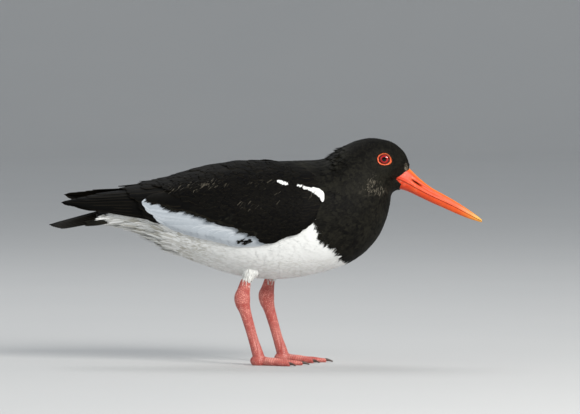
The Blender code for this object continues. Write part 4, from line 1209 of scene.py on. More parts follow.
def tier_batches(side, tier):
    """The vanes of one tier, from the lowest up."""
    count, width, root, tip, rounding = TIERS[tier]
    lines = whole_curve(TIER_LINES[tier], count)
    lines[:, 2] += rng.uniform(-2.0, 2.0, count)
    lines[:, 3] += rng.uniform(-1.2, 1.2, count)
    made = []
    for k, line in enumerate(lines):
        neighbour = lines[k + 1] if k + 1 < count else lines[k - 1]
        made.append(wing_vane(side, line, neighbour, width * rng.uniform(0.94, 1.06), root, tip, rounding))
    return made


def wing_place(u, v):
    """x and degrees of a place on the wing."""
    x = WING_X0 - u / (WING_ROWS - 1) * (WING_X0 - WING_X1)
    return x, np.degrees(WING_T0 + v / (WING_COLUMNS - 1) * (WING_T1 - WING_T0))


# Feathers of a shoulder mark for each point of its line, and how far ahead of the line they are rooted
MARK_FEATHERS, MARK_ROOT_AHEAD = 90, 1.3


def shoulder_mark(side):
    """Small white feathers that show between the scapulars and the bend of the wing."""
    surface = WINGS[side]
    made = []
    for line in SHOULDER_MARKS:
        rows = whole_curve(line, 200)
        area = np.cumsum(rows[:, 2])
        chosen = rows[np.searchsorted(area, rng.random(MARK_FEATHERS * len(line)) * area[-1] * 0.999)]
        off = rng.uniform(-0.85, 0.85, len(chosen)) * chosen[:, 2]
        x, z = chosen[:, 0] + MARK_ROOT_AHEAD, chosen[:, 1] + off
        u, v = wing_spot(surface, x, z)
        press = front_press(x)
        made.append(feathers(
            surface, u, v, rng.normal(0, 0.12, len(u)) - side * 0.05, rng.uniform(2.4, 4.2, len(u)),
            rng.uniform(0.9, 1.5, len(u)), 2, -0.7 - press * 0.8, 0.62 - press * 0.6, short=True,
            thickness=0.06,
            rough=0.03, pale=np.zeros(len(u)),
        ))
    return made


def wing_spot(surface, x, z):
    """u and v of the places on a wing's side at points of the side view."""
    u = wing_uv(x, 0)[0]
    heights = surface.values[..., 2]
    low, high = wing_uv(0, 20)[1], wing_uv(0, 125)[1]
    columns = np.arange(int(low), int(high))
    v = []
    for place, height in zip(u, z):
        row = heights[int(round(place)), columns]
        v.append(columns[np.argmin(np.abs(row - height))] + rng.uniform(-0.5, 0.5))
    return u, np.array(v)


# Small feathers of the wing: x of the first and the last, and by x their length and width at the front and
# the rear, above and below the edge of the scapulars
WING_COAT_FRONT, WING_COAT_REAR, SCAPULAR_BLEND = 51.0, -104.0, 4
WING_LENGTHS, WING_WIDTHS = ((12.0, 21.0), (9.0, 13.0)), ((6.5, 11.0), (4.8, 7.0))
WING_ROOTS_ALONG, WING_ROOTS_ACROSS = 0.2, 0.5
# x behind which the larger coverts take over, by degrees down from the back
COVERT_REAR_TURNS = [0, 30, 45, 60, 75, 90, 100, 110, 130]
COVERT_REAR = [-90, -84, -78, -68, -50, -18, -4, 2, 0]
# Turn, strength of the wander, heights of tip and root, and stand, of scapulars and then of coverts
SCAPULAR_FEATHER, COVERT_FEATHER = (0.04, 0.35, -1.3, 0.5), (0.12, 0.2, -1.15, 0.35)


def wing_feather_size(u, v, sizes):
    """A feather's length or width at a place of the wing."""
    x, degrees = wing_place(u, v)
    rear = smooth(-x, -40, 60)
    above, below = (front + (back - front) * rear for front, back in sizes)
    share = smooth(degrees - edge_at(x, SCAPULAR_EDGE), -SCAPULAR_BLEND, SCAPULAR_BLEND)
    return above * (1 - share) + below * share


def small_wing_feathers(side):
    """Scapulars, mantle and lesser coverts."""
    surface = WINGS[side]
    u, v = scatter(
        surface, wing_uv(WING_COAT_FRONT, 0)[0], wing_uv(WING_COAT_REAR, 0)[0],
        lambda u, v: WING_ROOTS_ALONG * wing_feather_size(u, v, WING_LENGTHS),
        lambda u, v: WING_ROOTS_ACROSS * wing_feather_size(u, v, WING_WIDTHS),
    )
    x, degrees = wing_place(u, v)
    upper, lower = wing_limits(x)
    length = wing_feather_size(u, v, WING_LENGTHS) * rng.uniform(0.85, 1.15, len(u))
    width = wing_feather_size(u, v, WING_WIDTHS) * rng.uniform(0.9, 1.1, len(u))
    scapular = degrees < edge_at(x, SCAPULAR_EDGE)
    inside = (degrees > upper + 0.5) & (degrees < lower - 1.5) & (x < 50.5)
    covert_rear = np.interp(degrees, COVERT_REAR_TURNS, COVERT_REAR)
    inside &= np.where(scapular, x > -99 + 0.25 * degrees, x > covert_rear)
    inside &= degrees < edge_at(x - 0.8 * length, PANEL_EDGE) - 4
    u, v, x, length, width, scapular = (value[inside] for value in (u, v, x, length, width, scapular))
    points, count = surface.at(u, v)[0], len(u)
    turn, high, low, loose = (np.where(scapular, a, b) for a, b in zip(SCAPULAR_FEATHER, COVERT_FEATHER))
    press, rear = front_press(x), smooth(-x, 40, 92)
    swing = turn * -side + 0.1 * waves(points, 20, 2.0) + rng.normal(0, 0.07, count)
    tip = np.where(scapular, high - 0.35 * rear, high) - press * 0.8
    root = low - press - 0.5 * rear
    stand = rng.random(count) ** 3 * loose
    tone = np.clip(rng.random(count) + 0.2 * waves(points, 25, 3.0), 0, 1)
    return small_vanes(surface, u, v, swing, length, width, root, tip, stand, 0.5, 0.02, tone, 0.0 * u)


# Fine pale streaks on a wing: middle x and z, reaches, and how many
WING_STREAKS = [
    (-66.0, 159.0, 22.0, 4.5, 44), (-42.0, 162.0, 12.0, 3.5, 16), (-2.0, 160.0, 12.0, 4.0, 10),
    (-12.0, 143.0, 9.0, 4.0, 10), (27.0, 149.0, 18.0, 8.0, 6),
]


def wing_streaks(side):
    """Thin pale streaks that lie over the coverts."""
    surface = WINGS[side]
    made = []
    for x, z, wide, high, count in WING_STREAKS:
        xs = x + wide * rng.uniform(-1, 1, count)
        zs = z + high * rng.uniform(-1, 1, count) + 0.12 * (xs - x)
        u, v = wing_spot(surface, xs, zs)
        made.append(feathers(
            surface, u, v, -side * rng.normal(0.85, 0.2, count), rng.uniform(3.5, 8.0, count),
            rng.uniform(0.2, 0.4, count), 1, -0.1, 0.5, thickness=0.04,
            pale=0.5 * rng.random(count) ** 2 + 0.05,
        ))
    return made


# Edge coverts of a wing: how many, x of the first and the last, how far their roots lie ahead of and above
# their tips
FRINGE_COUNT, FRINGE_FRONT, FRINGE_REAR, FRINGE_AHEAD, FRINGE_ABOVE = 60, -2, -98, 9, 10.5
# Black marks inside the panel: how many, and the part of the side view they lie in
PANEL_MARKS, PANEL_MARKS_X, PANEL_MARKS_Z = 14, (-24, -10), (107.5, 111.5)


def panel_fringe(side):
    """Black edge coverts whose tips make the ragged upper edge of the white panel."""
    surface, count = WINGS[side], FRINGE_COUNT
    x = np.linspace(FRINGE_FRONT, FRINGE_REAR, count) + rng.normal(0, 1.0, count)
    tips = edge_at(x - FRINGE_AHEAD, PANEL_EDGE) + rng.normal(0.0, 1.6, count) + 1.2 * np.sin(x * 0.55)
    u, v = wing_uv(x, tips - FRINGE_ABOVE)
    edge = feathers(
        surface, u, v, -side * 0.55, rng.uniform(8, 13, count), rng.uniform(3.0, 5.5, count), 6, -0.6, 0.35,
        ragged=0.22, thickness=0.08, pale=0.0 * x,
    )
    count = PANEL_MARKS
    x, z = rng.uniform(*PANEL_MARKS_X, count), rng.uniform(*PANEL_MARKS_Z, count)
    u, v = wing_spot(surface, x, z)
    marks = feathers(
        surface, u, v, -side * rng.normal(0.2, 0.25, count), rng.uniform(2.5, 5.5, count),
        rng.uniform(0.8, 2.2, count), 2, -0.2, 0.75, ragged=0.3, thickness=0.08, pale=0.0 * x,
    )
    return [edge, marks]


def add_vanes(name, batches, finish, nodes):
    """One piece of large vanes; their barbs are one more number of each point."""
    made = add_coat(name, batches, finish, nodes)
    set_numbers(made.data, {"barb": np.concatenate([batch["barb"].ravel() for batch in batches])})


def make_wings():
    """The pieces of both wings."""
    for side, name in SIDES.items():
        nodes = (f"wing_{name}",)
        black = [batch for tier in TIERS if tier not in WHITE_TIERS for batch in tier_batches(side, tier)]
        white = [batch for tier in WHITE_TIERS for batch in tier_batches(side, tier)]
        add_vanes(f"wing_vanes_{name}", black, BLACK_VANE, nodes)
        add_vanes(f"wing_panel_{name}", white, SHADED_WHITE_VANE, nodes)
        add_vanes(f"wing_coverts_{name}", [small_wing_feathers(side)], BLACK_VANE, nodes)
        add_coat(f"wing_fringe_{name}", panel_fringe(side) + wing_streaks(side), BLACK, nodes)
        add_coat(f"shoulder_mark_{name}", shoulder_mark(side), WHITE, nodes)


RECTRIX_COUNT, RECTRIX_WIDTH, TAIL_ROUNDING = 6, 9.5, 1.6
RECTRIX_ROOF = math.radians(10)
# Where a tail feather's rounded end starts, and how near the two sides come to the middle
RECTRIX_END, TAIL_GAP = 0.84, 0.15


def rectrix(side, place, stray):
    """A tail feather, from the central one (place 0) to the outermost (1) of a side."""
    line = np.array(CENTRAL_RECTRIX) + (np.array(OUTER_RECTRIX) - np.array(CENTRAL_RECTRIX)) * place
    line[3] = CENTRAL_RECTRIX[3] + (OUTER_RECTRIX[3] - CENTRAL_RECTRIX[3]) * place**TAIL_ROUNDING + stray
    line *= np.array([1, side, 1, 1, side, 1])
    root, tip = line[:3], line[3:]
    run = unit(tip - root)
    across = np.array([0, side * math.cos(RECTRIX_ROOF), -math.sin(RECTRIX_ROOF)])
    across = unit(across - dot(across, run) * run)
    up = np.cross(run, across)
    up = up if up[2] > 0 else -up
    shares, broad = vane_outline(RECTRIX_END)
    places = np.linspace(-1, 1, VANE_COLUMNS)[None, :] + 0 * shares[:, None]
    middle = root + (tip - root) * shares[:, None]
    offset = places * (1 + rng.normal(0, 0.02, places.shape)) * broad[:, None] * RECTRIX_WIDTH / 2
    shaft = 0.25 * np.exp(-((places / 0.12) ** 2)) - 0.3 * places**2
    points = middle[:, None] + across * offset[..., None] + up * shaft[..., None]
    y = points[..., 1]
    points[..., 1] = np.where(y * side < TAIL_GAP, side * TAIL_GAP + 0.02 * y, y)
    grid_shares = shares[:, None] + 0 * places
    edge = 0.06 + 0.2 * (0.1 < place < 0.9)
    white = 1 - smooth(grid_shares + rng.normal(0, 0.015, places.shape), edge, edge + 0.06)
    turned = dot(np.cross(run, across), up)[0] < 0
    home = [0.5 + side * 0.45 * (0.1 + place), 0.5]
    return vane_batch(
        points, up + 0 * points, TAIL_VANE_THICKNESS, grid_shares, places, middle, RECTRIX_WIDTH, home,
        rng.random(),
        white, turned,
    )


# Where white feathers lie over the side of the tail's root: x, then y and z below and above
TAIL_SIDE = [
    (-116.0, 19.5, 123.0, 17.0, 139.0), (-128.0, 16.0, 126.0, 12.5, 136.5),
    (-141.0, 15.0, 128.2, 10.5, 133.0),
    (-157.0, 15.0, 126.0, 10.5, 127.8),
]
# Where the outermost tail feather's black outer web lies, in the same way
TAIL_EDGE = [
    (-140.0, 15.0, 124.0, 15.3, 125.6), (-149.0, 15.3, 122.4, 15.9, 127.0),
    (-160.0, 15.8, 121.8, 16.2, 126.2),
]


# How far apart the small feathers beside the tail are rooted
TAIL_ALONG, TAIL_ACROSS = 1.9, 1.7
# Rows of the strips that they lie on, and the last row that holds roots
TAIL_STRIP_ROWS, TAIL_SIDE_LAST, TAIL_EDGE_LAST = 40, 27, 22


def tail_side_coat(side, limits, last):
    """Small feathers over a strip between two lines beside the tail."""
    rows = whole_curve(limits, TAIL_STRIP_ROWS)
    across = np.linspace(0, 1, 16)[None, :]
    y = rows[:, 1:2] + (rows[:, 3:4] - rows[:, 1:2]) * across**1.3
    z = rows[:, 2:3] + (rows[:, 4:5] - rows[:, 2:3]) * across
    surface = Surface(np.stack([rows[:, :1] + 0 * y, side * y, z], axis=-1), side)
    u, v = scatter(surface, 0, last, lambda u, v: TAIL_ALONG + 0 * v, lambda u, v: TAIL_ACROSS + 0 * v)
    count = len(u)
    return feathers(
        surface, u, v, rng.normal(0, 0.07, count), rng.uniform(8, 12, count), rng.uniform(3.0, 4.2, count), 5,
        -1.6, 0.15, thickness=0.05, rough=0.02, camber=0.02, overlap=1.6, ragged=0.12, pale=0.0 * u,
    )


def make_tail():
    """Tail feathers, and the white and the black beside their roots."""
    made = []
    for side in SIDES:
        for k in range(RECTRIX_COUNT):
            made.append(rectrix(side, k / (RECTRIX_COUNT - 1), rng.uniform(-0.9, 0.9)))
    add_vanes("tail_vanes", made, TAIL_VANE, ("tail",))
    white = [tail_side_coat(side, TAIL_SIDE, TAIL_SIDE_LAST) for side in SIDES]
    add_coat("tail_coat", white, WHITE, ("tail",))
    black = [tail_side_coat(side, TAIL_EDGE, TAIL_EDGE_LAST) for side in SIDES]
    add_coat("tail_edge", black, BLACK, ("tail",))


# A thigh's surface for its tufts, the rows left bare at its lower end, how far apart tufts lie, and its
# thin plumes
THIGH_ROWS, THIGH_SIDES, THIGH_ROOT_DEPTH, THIGH_BARE_ROWS = 60, 48, -0.7, 14
TUFTS_ALONG, TUFTS_ACROSS = 1.6, 1.5
PLUME_COUNT, PLUME_ROWS = 30, (20, 46)


def thigh_coat(side):
    """White tufts down a thigh, and a few that straggle over the bare leg."""
    sections = curve_through(THIGH_SECTIONS, np.linspace(0.2, 4, THIGH_ROWS))
    rings = limb_rings(sections, THIGH_SIDES, side, THIGH_ROOT_DEPTH)
    rings = np.concatenate([rings, rings[:, :1]], axis=1)
    surface = Surface(rings, 1, closed=True)
    if dot(surface.values[30, 0, 3:6], rings[30, 0] - rings[30].mean(0))[0] < 0:
        surface = Surface(rings, -1, closed=True)
    u, v = scatter(
        surface, 1, surface.rows - THIGH_BARE_ROWS,
        lambda u, v: TUFTS_ALONG + 0 * v, lambda u, v: TUFTS_ACROSS + 0 * v,
    )
    count = len(u)
    length = rng.uniform(6.0, 9.5, count) * np.interp(u, [0, surface.rows], [1.1, 0.7])
    # Tufts grey further down the thigh: partly stain, partly painted shade
    thigh_stain_and_shade = 0.25 + 0.5 * rng.random(count) * smooth(u, 5, 45)
    tufts = feathers(
        surface, u, v, rng.normal(0, 0.22, count), length, rng.uniform(1.6, 3.0, count), 4, -0.9, 0.1,
        stand=rng.random(count) ** 2 * 1.6, ragged=0.3, thickness=0.08, overlap=1.5, pale=thigh_stain_and_shade,
    )
    count = PLUME_COUNT
    u, v = rng.uniform(*PLUME_ROWS, count), rng.uniform(0, surface.columns - 1, count)
    plumes = feathers(
        surface, u, v, rng.normal(0, 0.35, count), rng.uniform(7, 13, count), rng.uniform(0.4, 0.9, count), 1,
        -0.3, 0.6, stand=rng.random(count) * 1.8, thickness=0.1, kink=0.02, pale=rng.uniform(0.1, 0.7, count),
    )
    return [tufts, plumes]


def make_thighs():
    """The coats of both thighs."""
    for side, name in SIDES.items():
        add_coat(f"thigh_coat_{name}", thigh_coat(side), WHITE, (f"thigh_{name}",))


def split_quads(rows, columns, closed):
    """Triangles of a grid of points, closed round its columns or open."""
    faces = []
    for i in range(rows - 1):
        for j in range(columns if closed else columns - 1):
            k = (j + 1) % columns
            a, b, c, d = i * columns + j, i * columns + k, (i + 1) * columns + k, (i + 1) * columns + j
            faces += [(a, b, c), (a, c, d)]
    return faces


def fan(ring, middle, turned):
    """Triangles from a closed ring of point numbers to a point in its middle."""
    pairs = list(zip(ring, ring[1:] + ring[:1]))
    return [(b, a, middle) if turned else (a, b, middle) for a, b in pairs]


def closed_form(rings):
    """Points and triangles of a closed form through rings, with a point in the middle of each end."""
    rows, columns = rings.shape[:2]
    points = np.concatenate([rings.reshape(-1, 3), rings[:1].mean(1), rings[-1:].mean(1)])
    faces = split_quads(rows, columns, True)
    first, last = list(range(columns)), list(range((rows - 1) * columns, rows * columns))
    faces += fan(first, rows * columns, True) + fan(last, rows * columns + 1, False)
    return points, np.array(faces)


def outward(points, faces):
    """The triangles turned so that the form's volume is positive."""
    a, b, c = (points[faces[:, i]] for i in range(3))
    volume = (np.cross(a, b) * c).sum()
    return faces if volume > 0 else faces[:, ::-1]


BILL_RINGS, BILL_HALF_RING, LIP_HEIGHT = 150, 26, 0.18
# The nasal groove and the nostril's slit: lines in x and z, then depths and reaches to either side
GROOVE = [(126.0, 162.8), (133.0, 158.6), (143.0, 152.6), (155.0, 146.2)]
SLIT = [(127.2, 162.2), (135.5, 156.8)]
GROOVE_DEPTH, GROOVE_REACH, SLIT_DEPTH, SLIT_REACH = 0.55, 1.25, 1.9, 0.62


def along_line(x, z, line):
    """Distance to a line in the side view, and the share along it."""
    best = np.full(np.shape(x), 1e9)
    share = np.zeros(np.shape(x))
    for k, (start, end) in enumerate(zip(line, line[1:])):
        start, end = np.array(start), np.array(end)
        run = end - start
        t = np.clip(((x - start[0]) * run[0] + (z - start[1]) * run[1]) / (run @ run), 0, 1)
        away = np.hypot(x - start[0] - t * run[0], z - start[1] - t * run[1])
        share = np.where(away < best, (k + t) / (len(line) - 1), share)
        best = np.minimum(best, away)
    return best, share


def bill_form(upper):
    """One half of the bill with its nasal groove, nostril and cutting edge."""
    places = np.linspace(0, len(BILL_SECTIONS) - 1, BILL_RINGS)
    x, culmen, mouth, keel, width = np.moveaxis(curve_through(BILL_SECTIONS, places), -1, 0)
    outs, rises = zip(*(UPPER_OUTLINE if upper else LOWER_OUTLINE))
    span = np.linspace(0, 1, BILL_HALF_RING) ** 0.9
    out = np.sqrt(np.maximum(np.interp(span, rises, np.square(outs)), 0))
    out[-1] = 0.0
    edge = mouth + (MOUTH_HALF_GAP if upper else -MOUTH_HALF_GAP)
    far = culmen if upper else keel
    z = edge[:, None] + (far - edge)[:, None] * span
    y = width[:, None] * out[None, :]
    xs = x[:, None] + 0 * z
    if upper:
        away, share = along_line(xs, z, GROOVE)
        dip = np.exp(-((away / GROOVE_REACH) ** 2)) * np.sin(np.pi * np.clip(share * 0.9 + 0.1, 0, 1)) ** 0.5
        away, share = along_line(xs, z, SLIT)
        slit = np.exp(-((away / SLIT_REACH) ** 4)) * np.sin(np.pi * np.clip(share, 0.02, 0.98)) ** 0.4
        y = y - np.minimum(GROOVE_DEPTH * dip + SLIT_DEPTH * slit, 0.7 * y)
    # The nostril's slit, which the finish paints near black: a painted shade in the opening
    nostril_shade = slit if upper else 0 * z
    # ridge marks the top of the upper half, which the finish paints paler: a painted highlight
    ridge = smooth(span, 0.72, 0.97)[None, :] * smooth(xs, 112, 122) if upper else 0 * z
    lip = LIP_HEIGHT * np.exp(-(((span - 0.05) / 0.05) ** 2))[None, :] * (y > 0.5)
    y = y + lip
    half = np.stack([xs, y, z], axis=-1)
    other = half[:, -2::-1] * np.array([1, -1, 1])
    points, faces = closed_form(np.concatenate([half, other], axis=1))
    numbers = {}
    for key, values in (("nostril_shade", nostril_shade), ("ridge", ridge)):
        numbers[key] = np.append(np.concatenate([values, values[:, -2::-1]], axis=1).ravel(), [0, 0])
    return points, faces, numbers


def make_bill():
    """Both halves of the bill."""
    for name, upper in (("bill_upper", True), ("bill_lower", False)):
        points, faces, numbers = bill_form(upper)
        piece = make_mesh(f"visual_{name}", points, outward(points, faces), numbers=numbers, finish=BILL)
        settle(piece, (name,))


def make_mouth():
    """Dark lining between the halves of the bill, whose dark colour is painted shade along the gape."""
    places = np.linspace(0, len(BILL_SECTIONS) - 1.15, 60)
    x, _, mouth, _, width = np.moveaxis(curve_through(BILL_SECTIONS, places), -1, 0)
    turn = np.linspace(0, 2 * np.pi, 12, endpoint=False)[None, :]
    y = width[:, None] * 0.8 * np.cos(turn)
    z = mouth[:, None] + 0.5 * np.sin(turn)
    points, faces = closed_form(np.stack([x[:, None] + 0 * y, y, z], axis=-1))
    settle(make_mesh("mouth_lining", points, outward(points, faces), finish=MOUTH_SHADE), ("bill_lower",))


def head_level(x, z, side):
    """y of the head's surface at points of its side view."""
    first, last = int(u_of(18)), int(u_of(12.5))
    points = BODY.values[first:last, :, 0:3].reshape(-1, 3)
    points = points[points[:, 1] * side > 4]
    x, z = np.broadcast_arrays(np.asarray(x, float), np.asarray(z, float))
    found = np.empty(x.shape)
    for k in np.ndindex(x.shape):
        away = np.hypot(points[:, 0] - x[k], points[:, 2] - z[k])
        near = np.argpartition(away, 6)[:6]
        weight = 1 / (away[near] + 0.05) ** 2
        found[k] = (points[near, 1] * weight).sum() / weight.sum()
    return found


EYE_RADII, EYE_OUT = (5.5, 3.4, 4.95), 17.0
EYE_RINGS, EYE_SIDES = 48, 72
LID_STEPS, BEADS, BEAD_HEIGHT = 96, 26, 0.07
# The eyelid's cross-section: share of its outline, lift, and how much it keeps to the eyeball, not the head
LID_SECTION = [
    (0.81, -0.5, 1.0), (0.835, -0.05, 1.0), (0.85, 0.2, 1.0), (0.87, 0.36, 1.0), (0.895, 0.45, 0.85),
    (0.925, 0.46, 0.7), (0.96, 0.38, 0.45), (0.99, 0.22, 0.2), (1.01, -0.1, 0.0), (1.03, -0.7, 0.0),
]


def make_eye(side, name):
    """The eyeball, a flattened ball that looks sideways."""
    latitude = np.linspace(0, np.pi, EYE_RINGS)[1:-1, None]
    turn = np.linspace(0, 2 * np.pi, EYE_SIDES, endpoint=False)[None, :]
    x = EYE[0] + EYE_RADII[0] * np.sin(latitude) * np.cos(turn)
    z = EYE[1] + EYE_RADII[2] * np.sin(latitude) * np.sin(turn)
    y = side * (EYE_OUT + EYE_RADII[1] * np.cos(latitude)) + 0 * turn
    points, faces = closed_form(np.stack([x, y, z], axis=-1))
    points[-2] = (EYE[0], side * (EYE_OUT + EYE_RADII[1]), EYE[1])
    points[-1] = (EYE[0], side * (EYE_OUT - EYE_RADII[1]), EYE[1])
    eye = make_mesh(f"visual_eye_{name}", points, outward(points, faces), finish=EYE_FINISH)
    settle(eye, (f"eye_{name}",))


def make_lid(side, name):
    """The eyelid, a ring of skin from the eyeball to the head."""
    turn = np.linspace(0, 2 * np.pi, LID_STEPS, endpoint=False)[None, :]
    shares, lifts, keeps = (column[:, None] for column in np.array(LID_SECTION).T)
    corner = np.maximum(0.0, np.cos(turn - LID_CORNER_DIRECTION)) ** 8
    reach = 1 + LID_CORNER * corner * smooth(shares, 0.7, 1.0)
    wobble = 1 + 0.012 * np.sin(5 * turn + 1) + 0.01 * np.sin(11 * turn)
    x = LID_HALF_LENGTH * shares * reach * wobble * np.cos(turn)
    z = LID_HALF_HEIGHT * shares * reach * wobble * np.sin(turn)
    bulge = np.sqrt(np.clip(1 - (x / EYE_RADII[0]) ** 2 - (z / EYE_RADII[2]) ** 2, 0, 1))
    ball = EYE_OUT + EYE_RADII[1] * bulge
    head = np.abs(head_level(EYE[0] + x, EYE[1] + z, side))
    beads = BEAD_HEIGHT * np.sin(turn * BEADS + shares * 9) * np.sin(shares * 40) * (keeps < 1) * (keeps > 0)
    y = side * (ball * keeps + head * (1 - keeps) + lifts + beads)
    rings = np.moveaxis(np.stack([EYE[0] + x, y, EYE[1] + z], axis=-1), 0, 1)
    rows, columns = rings.shape[:2]
    points = rings.reshape(-1, 3)
    faces = []
    for i in range(rows):
        for j in range(columns):
            k, m = (i + 1) % rows, (j + 1) % columns
            a, b, c, d = i * columns + j, i * columns + m, k * columns + m, k * columns + j
            faces += [(a, b, c), (a, c, d)]
    faces = outward(points - points.mean(0), np.array(faces))
    lid = make_mesh(f"visual_eyelid_{name}", points, faces, finish=LID_FINISH)
    settle(lid, (f"eyelid_{name}",))


WEB_BOTTOM, WEB_TOP = 0.8, 2.4
LEG_VOXEL, LEG_ROWS, LEG_SIDES, TOE_ROWS, CLAW_ROWS = 0.42, 60, 40, 60, 16
SCALE_SPACING, SCALE_HEIGHT, SCALE_EDGE = 1.35, 0.2, 0.38
# Cross scales of a toe: distance of the first from the foot's middle, reach to either side, pitch and soft
# edge
SCUTES_FROM, SCUTE_REACH, SCUTE_PITCH, SCUTE_EDGE = 7, 3.6, 2.1, 0.45
# Groove down the side of the tarsus: heights, x at each, and depth
LEG_GROOVE, LEG_GROOVE_DEPTH = ([15, 40, 55], [-9.0, -14.6, -18.5]), 0.45


def toe_frames(side):
    """Name, middle of the foot, direction, sideways direction and length of each toe."""
    centre = np.array([FOOT_CENTRE_X + LEG_SHIFT[side], side * LEG_SPREAD, 0.0])
    for toe, (length, splay) in TOES.items():
        heading = math.radians(splay * -side)
        run = np.array([math.cos(heading), math.sin(heading), 0.0])
        yield toe, centre, run, np.array([-run[1], run[0], 0.0]), length


def toe_rings(sections, centre, run, across, sides=32):
    """Rings of points along a toe or a claw, kept above the floor."""
    middles = centre + sections[:, :1] * run + sections[:, 1:2] * np.array([0, 0, 1.0])
    heading = unit(np.gradient(middles, axis=0))
    front = unit(np.cross(across, heading))
    turn = np.linspace(0, 2 * np.pi, sides, endpoint=False)
    deep, wide = sections[:, 2], sections[:, 3]
    rings = middles[:, None] + front[:, None] * (deep[:, None] * np.cos(turn))[..., None]
    rings = rings + across * (wide[:, None] * np.sin(turn))[..., None]
    rings[..., 2] = np.maximum(rings[..., 2], 0.0)
    return rings


def join_forms(forms, name):
    """One object from several closed forms."""
    firsts = np.cumsum([0] + [len(points) for points, _ in forms])
    faces = [outward(points - points.mean(0), faces) + first for first, (points, faces) in zip(firsts, forms)]
    return make_mesh(name, np.concatenate([points for points, _ in forms]), np.concatenate(faces))


def remeshed(made, voxel, rounds, triangles=True):
    """One even skin of small faces round the overlapping forms of an object."""
    remesh = made.modifiers.new("remesh", "REMESH")
    remesh.mode, remesh.voxel_size = "VOXEL", voxel * MM
    ease = made.modifiers.new("ease", "SMOOTH")
    ease.factor, ease.iterations = 0.5, rounds
    if triangles:
        made.modifiers.new("triangles", "TRIANGULATE").min_vertices = 4
    graph = bpy.context.evaluated_depsgraph_get()
    made.data = bpy.data.meshes.new_from_object(made.evaluated_get(graph))
    made.modifiers.clear()
    made.data.shade_smooth()
    made.data.materials.clear()
    return made


def mesh_arrays(mesh):
    """A mesh's points in millimetres, and its normals."""
    points, normals = (np.zeros(len(mesh.vertices) * 3, np.float32) for _ in range(2))
    mesh.vertices.foreach_get("co", points)
    mesh.vertex_normals.foreach_get("vector", normals)
    return points.reshape(-1, 3).astype(float) / MM, normals.reshape(-1, 3).astype(float)


def spread_seeds(points, spacing):
    """Points so chosen that no two lie nearer than their spacing."""
    order = rng.permutation(len(points))
    cells, chosen = {}, []
    size = spacing.max()
    for k in order:
        cell = tuple((points[k] // size).astype(int))
        near = [
            m for dx in (-1, 0, 1) for dy in (-1, 0, 1) for dz in (-1, 0, 1)
            for m in cells.get((cell[0] + dx, cell[1] + dy, cell[2] + dz), ())
        ]
        gaps = (points[k] - points[m] for m in near)
        if all(np.abs(gap).sum() > 0.5 and np.linalg.norm(gap) > spacing[k] for gap in gaps):
            cells.setdefault(cell, []).append(k)
            chosen.append(k)
    return np.array(chosen)


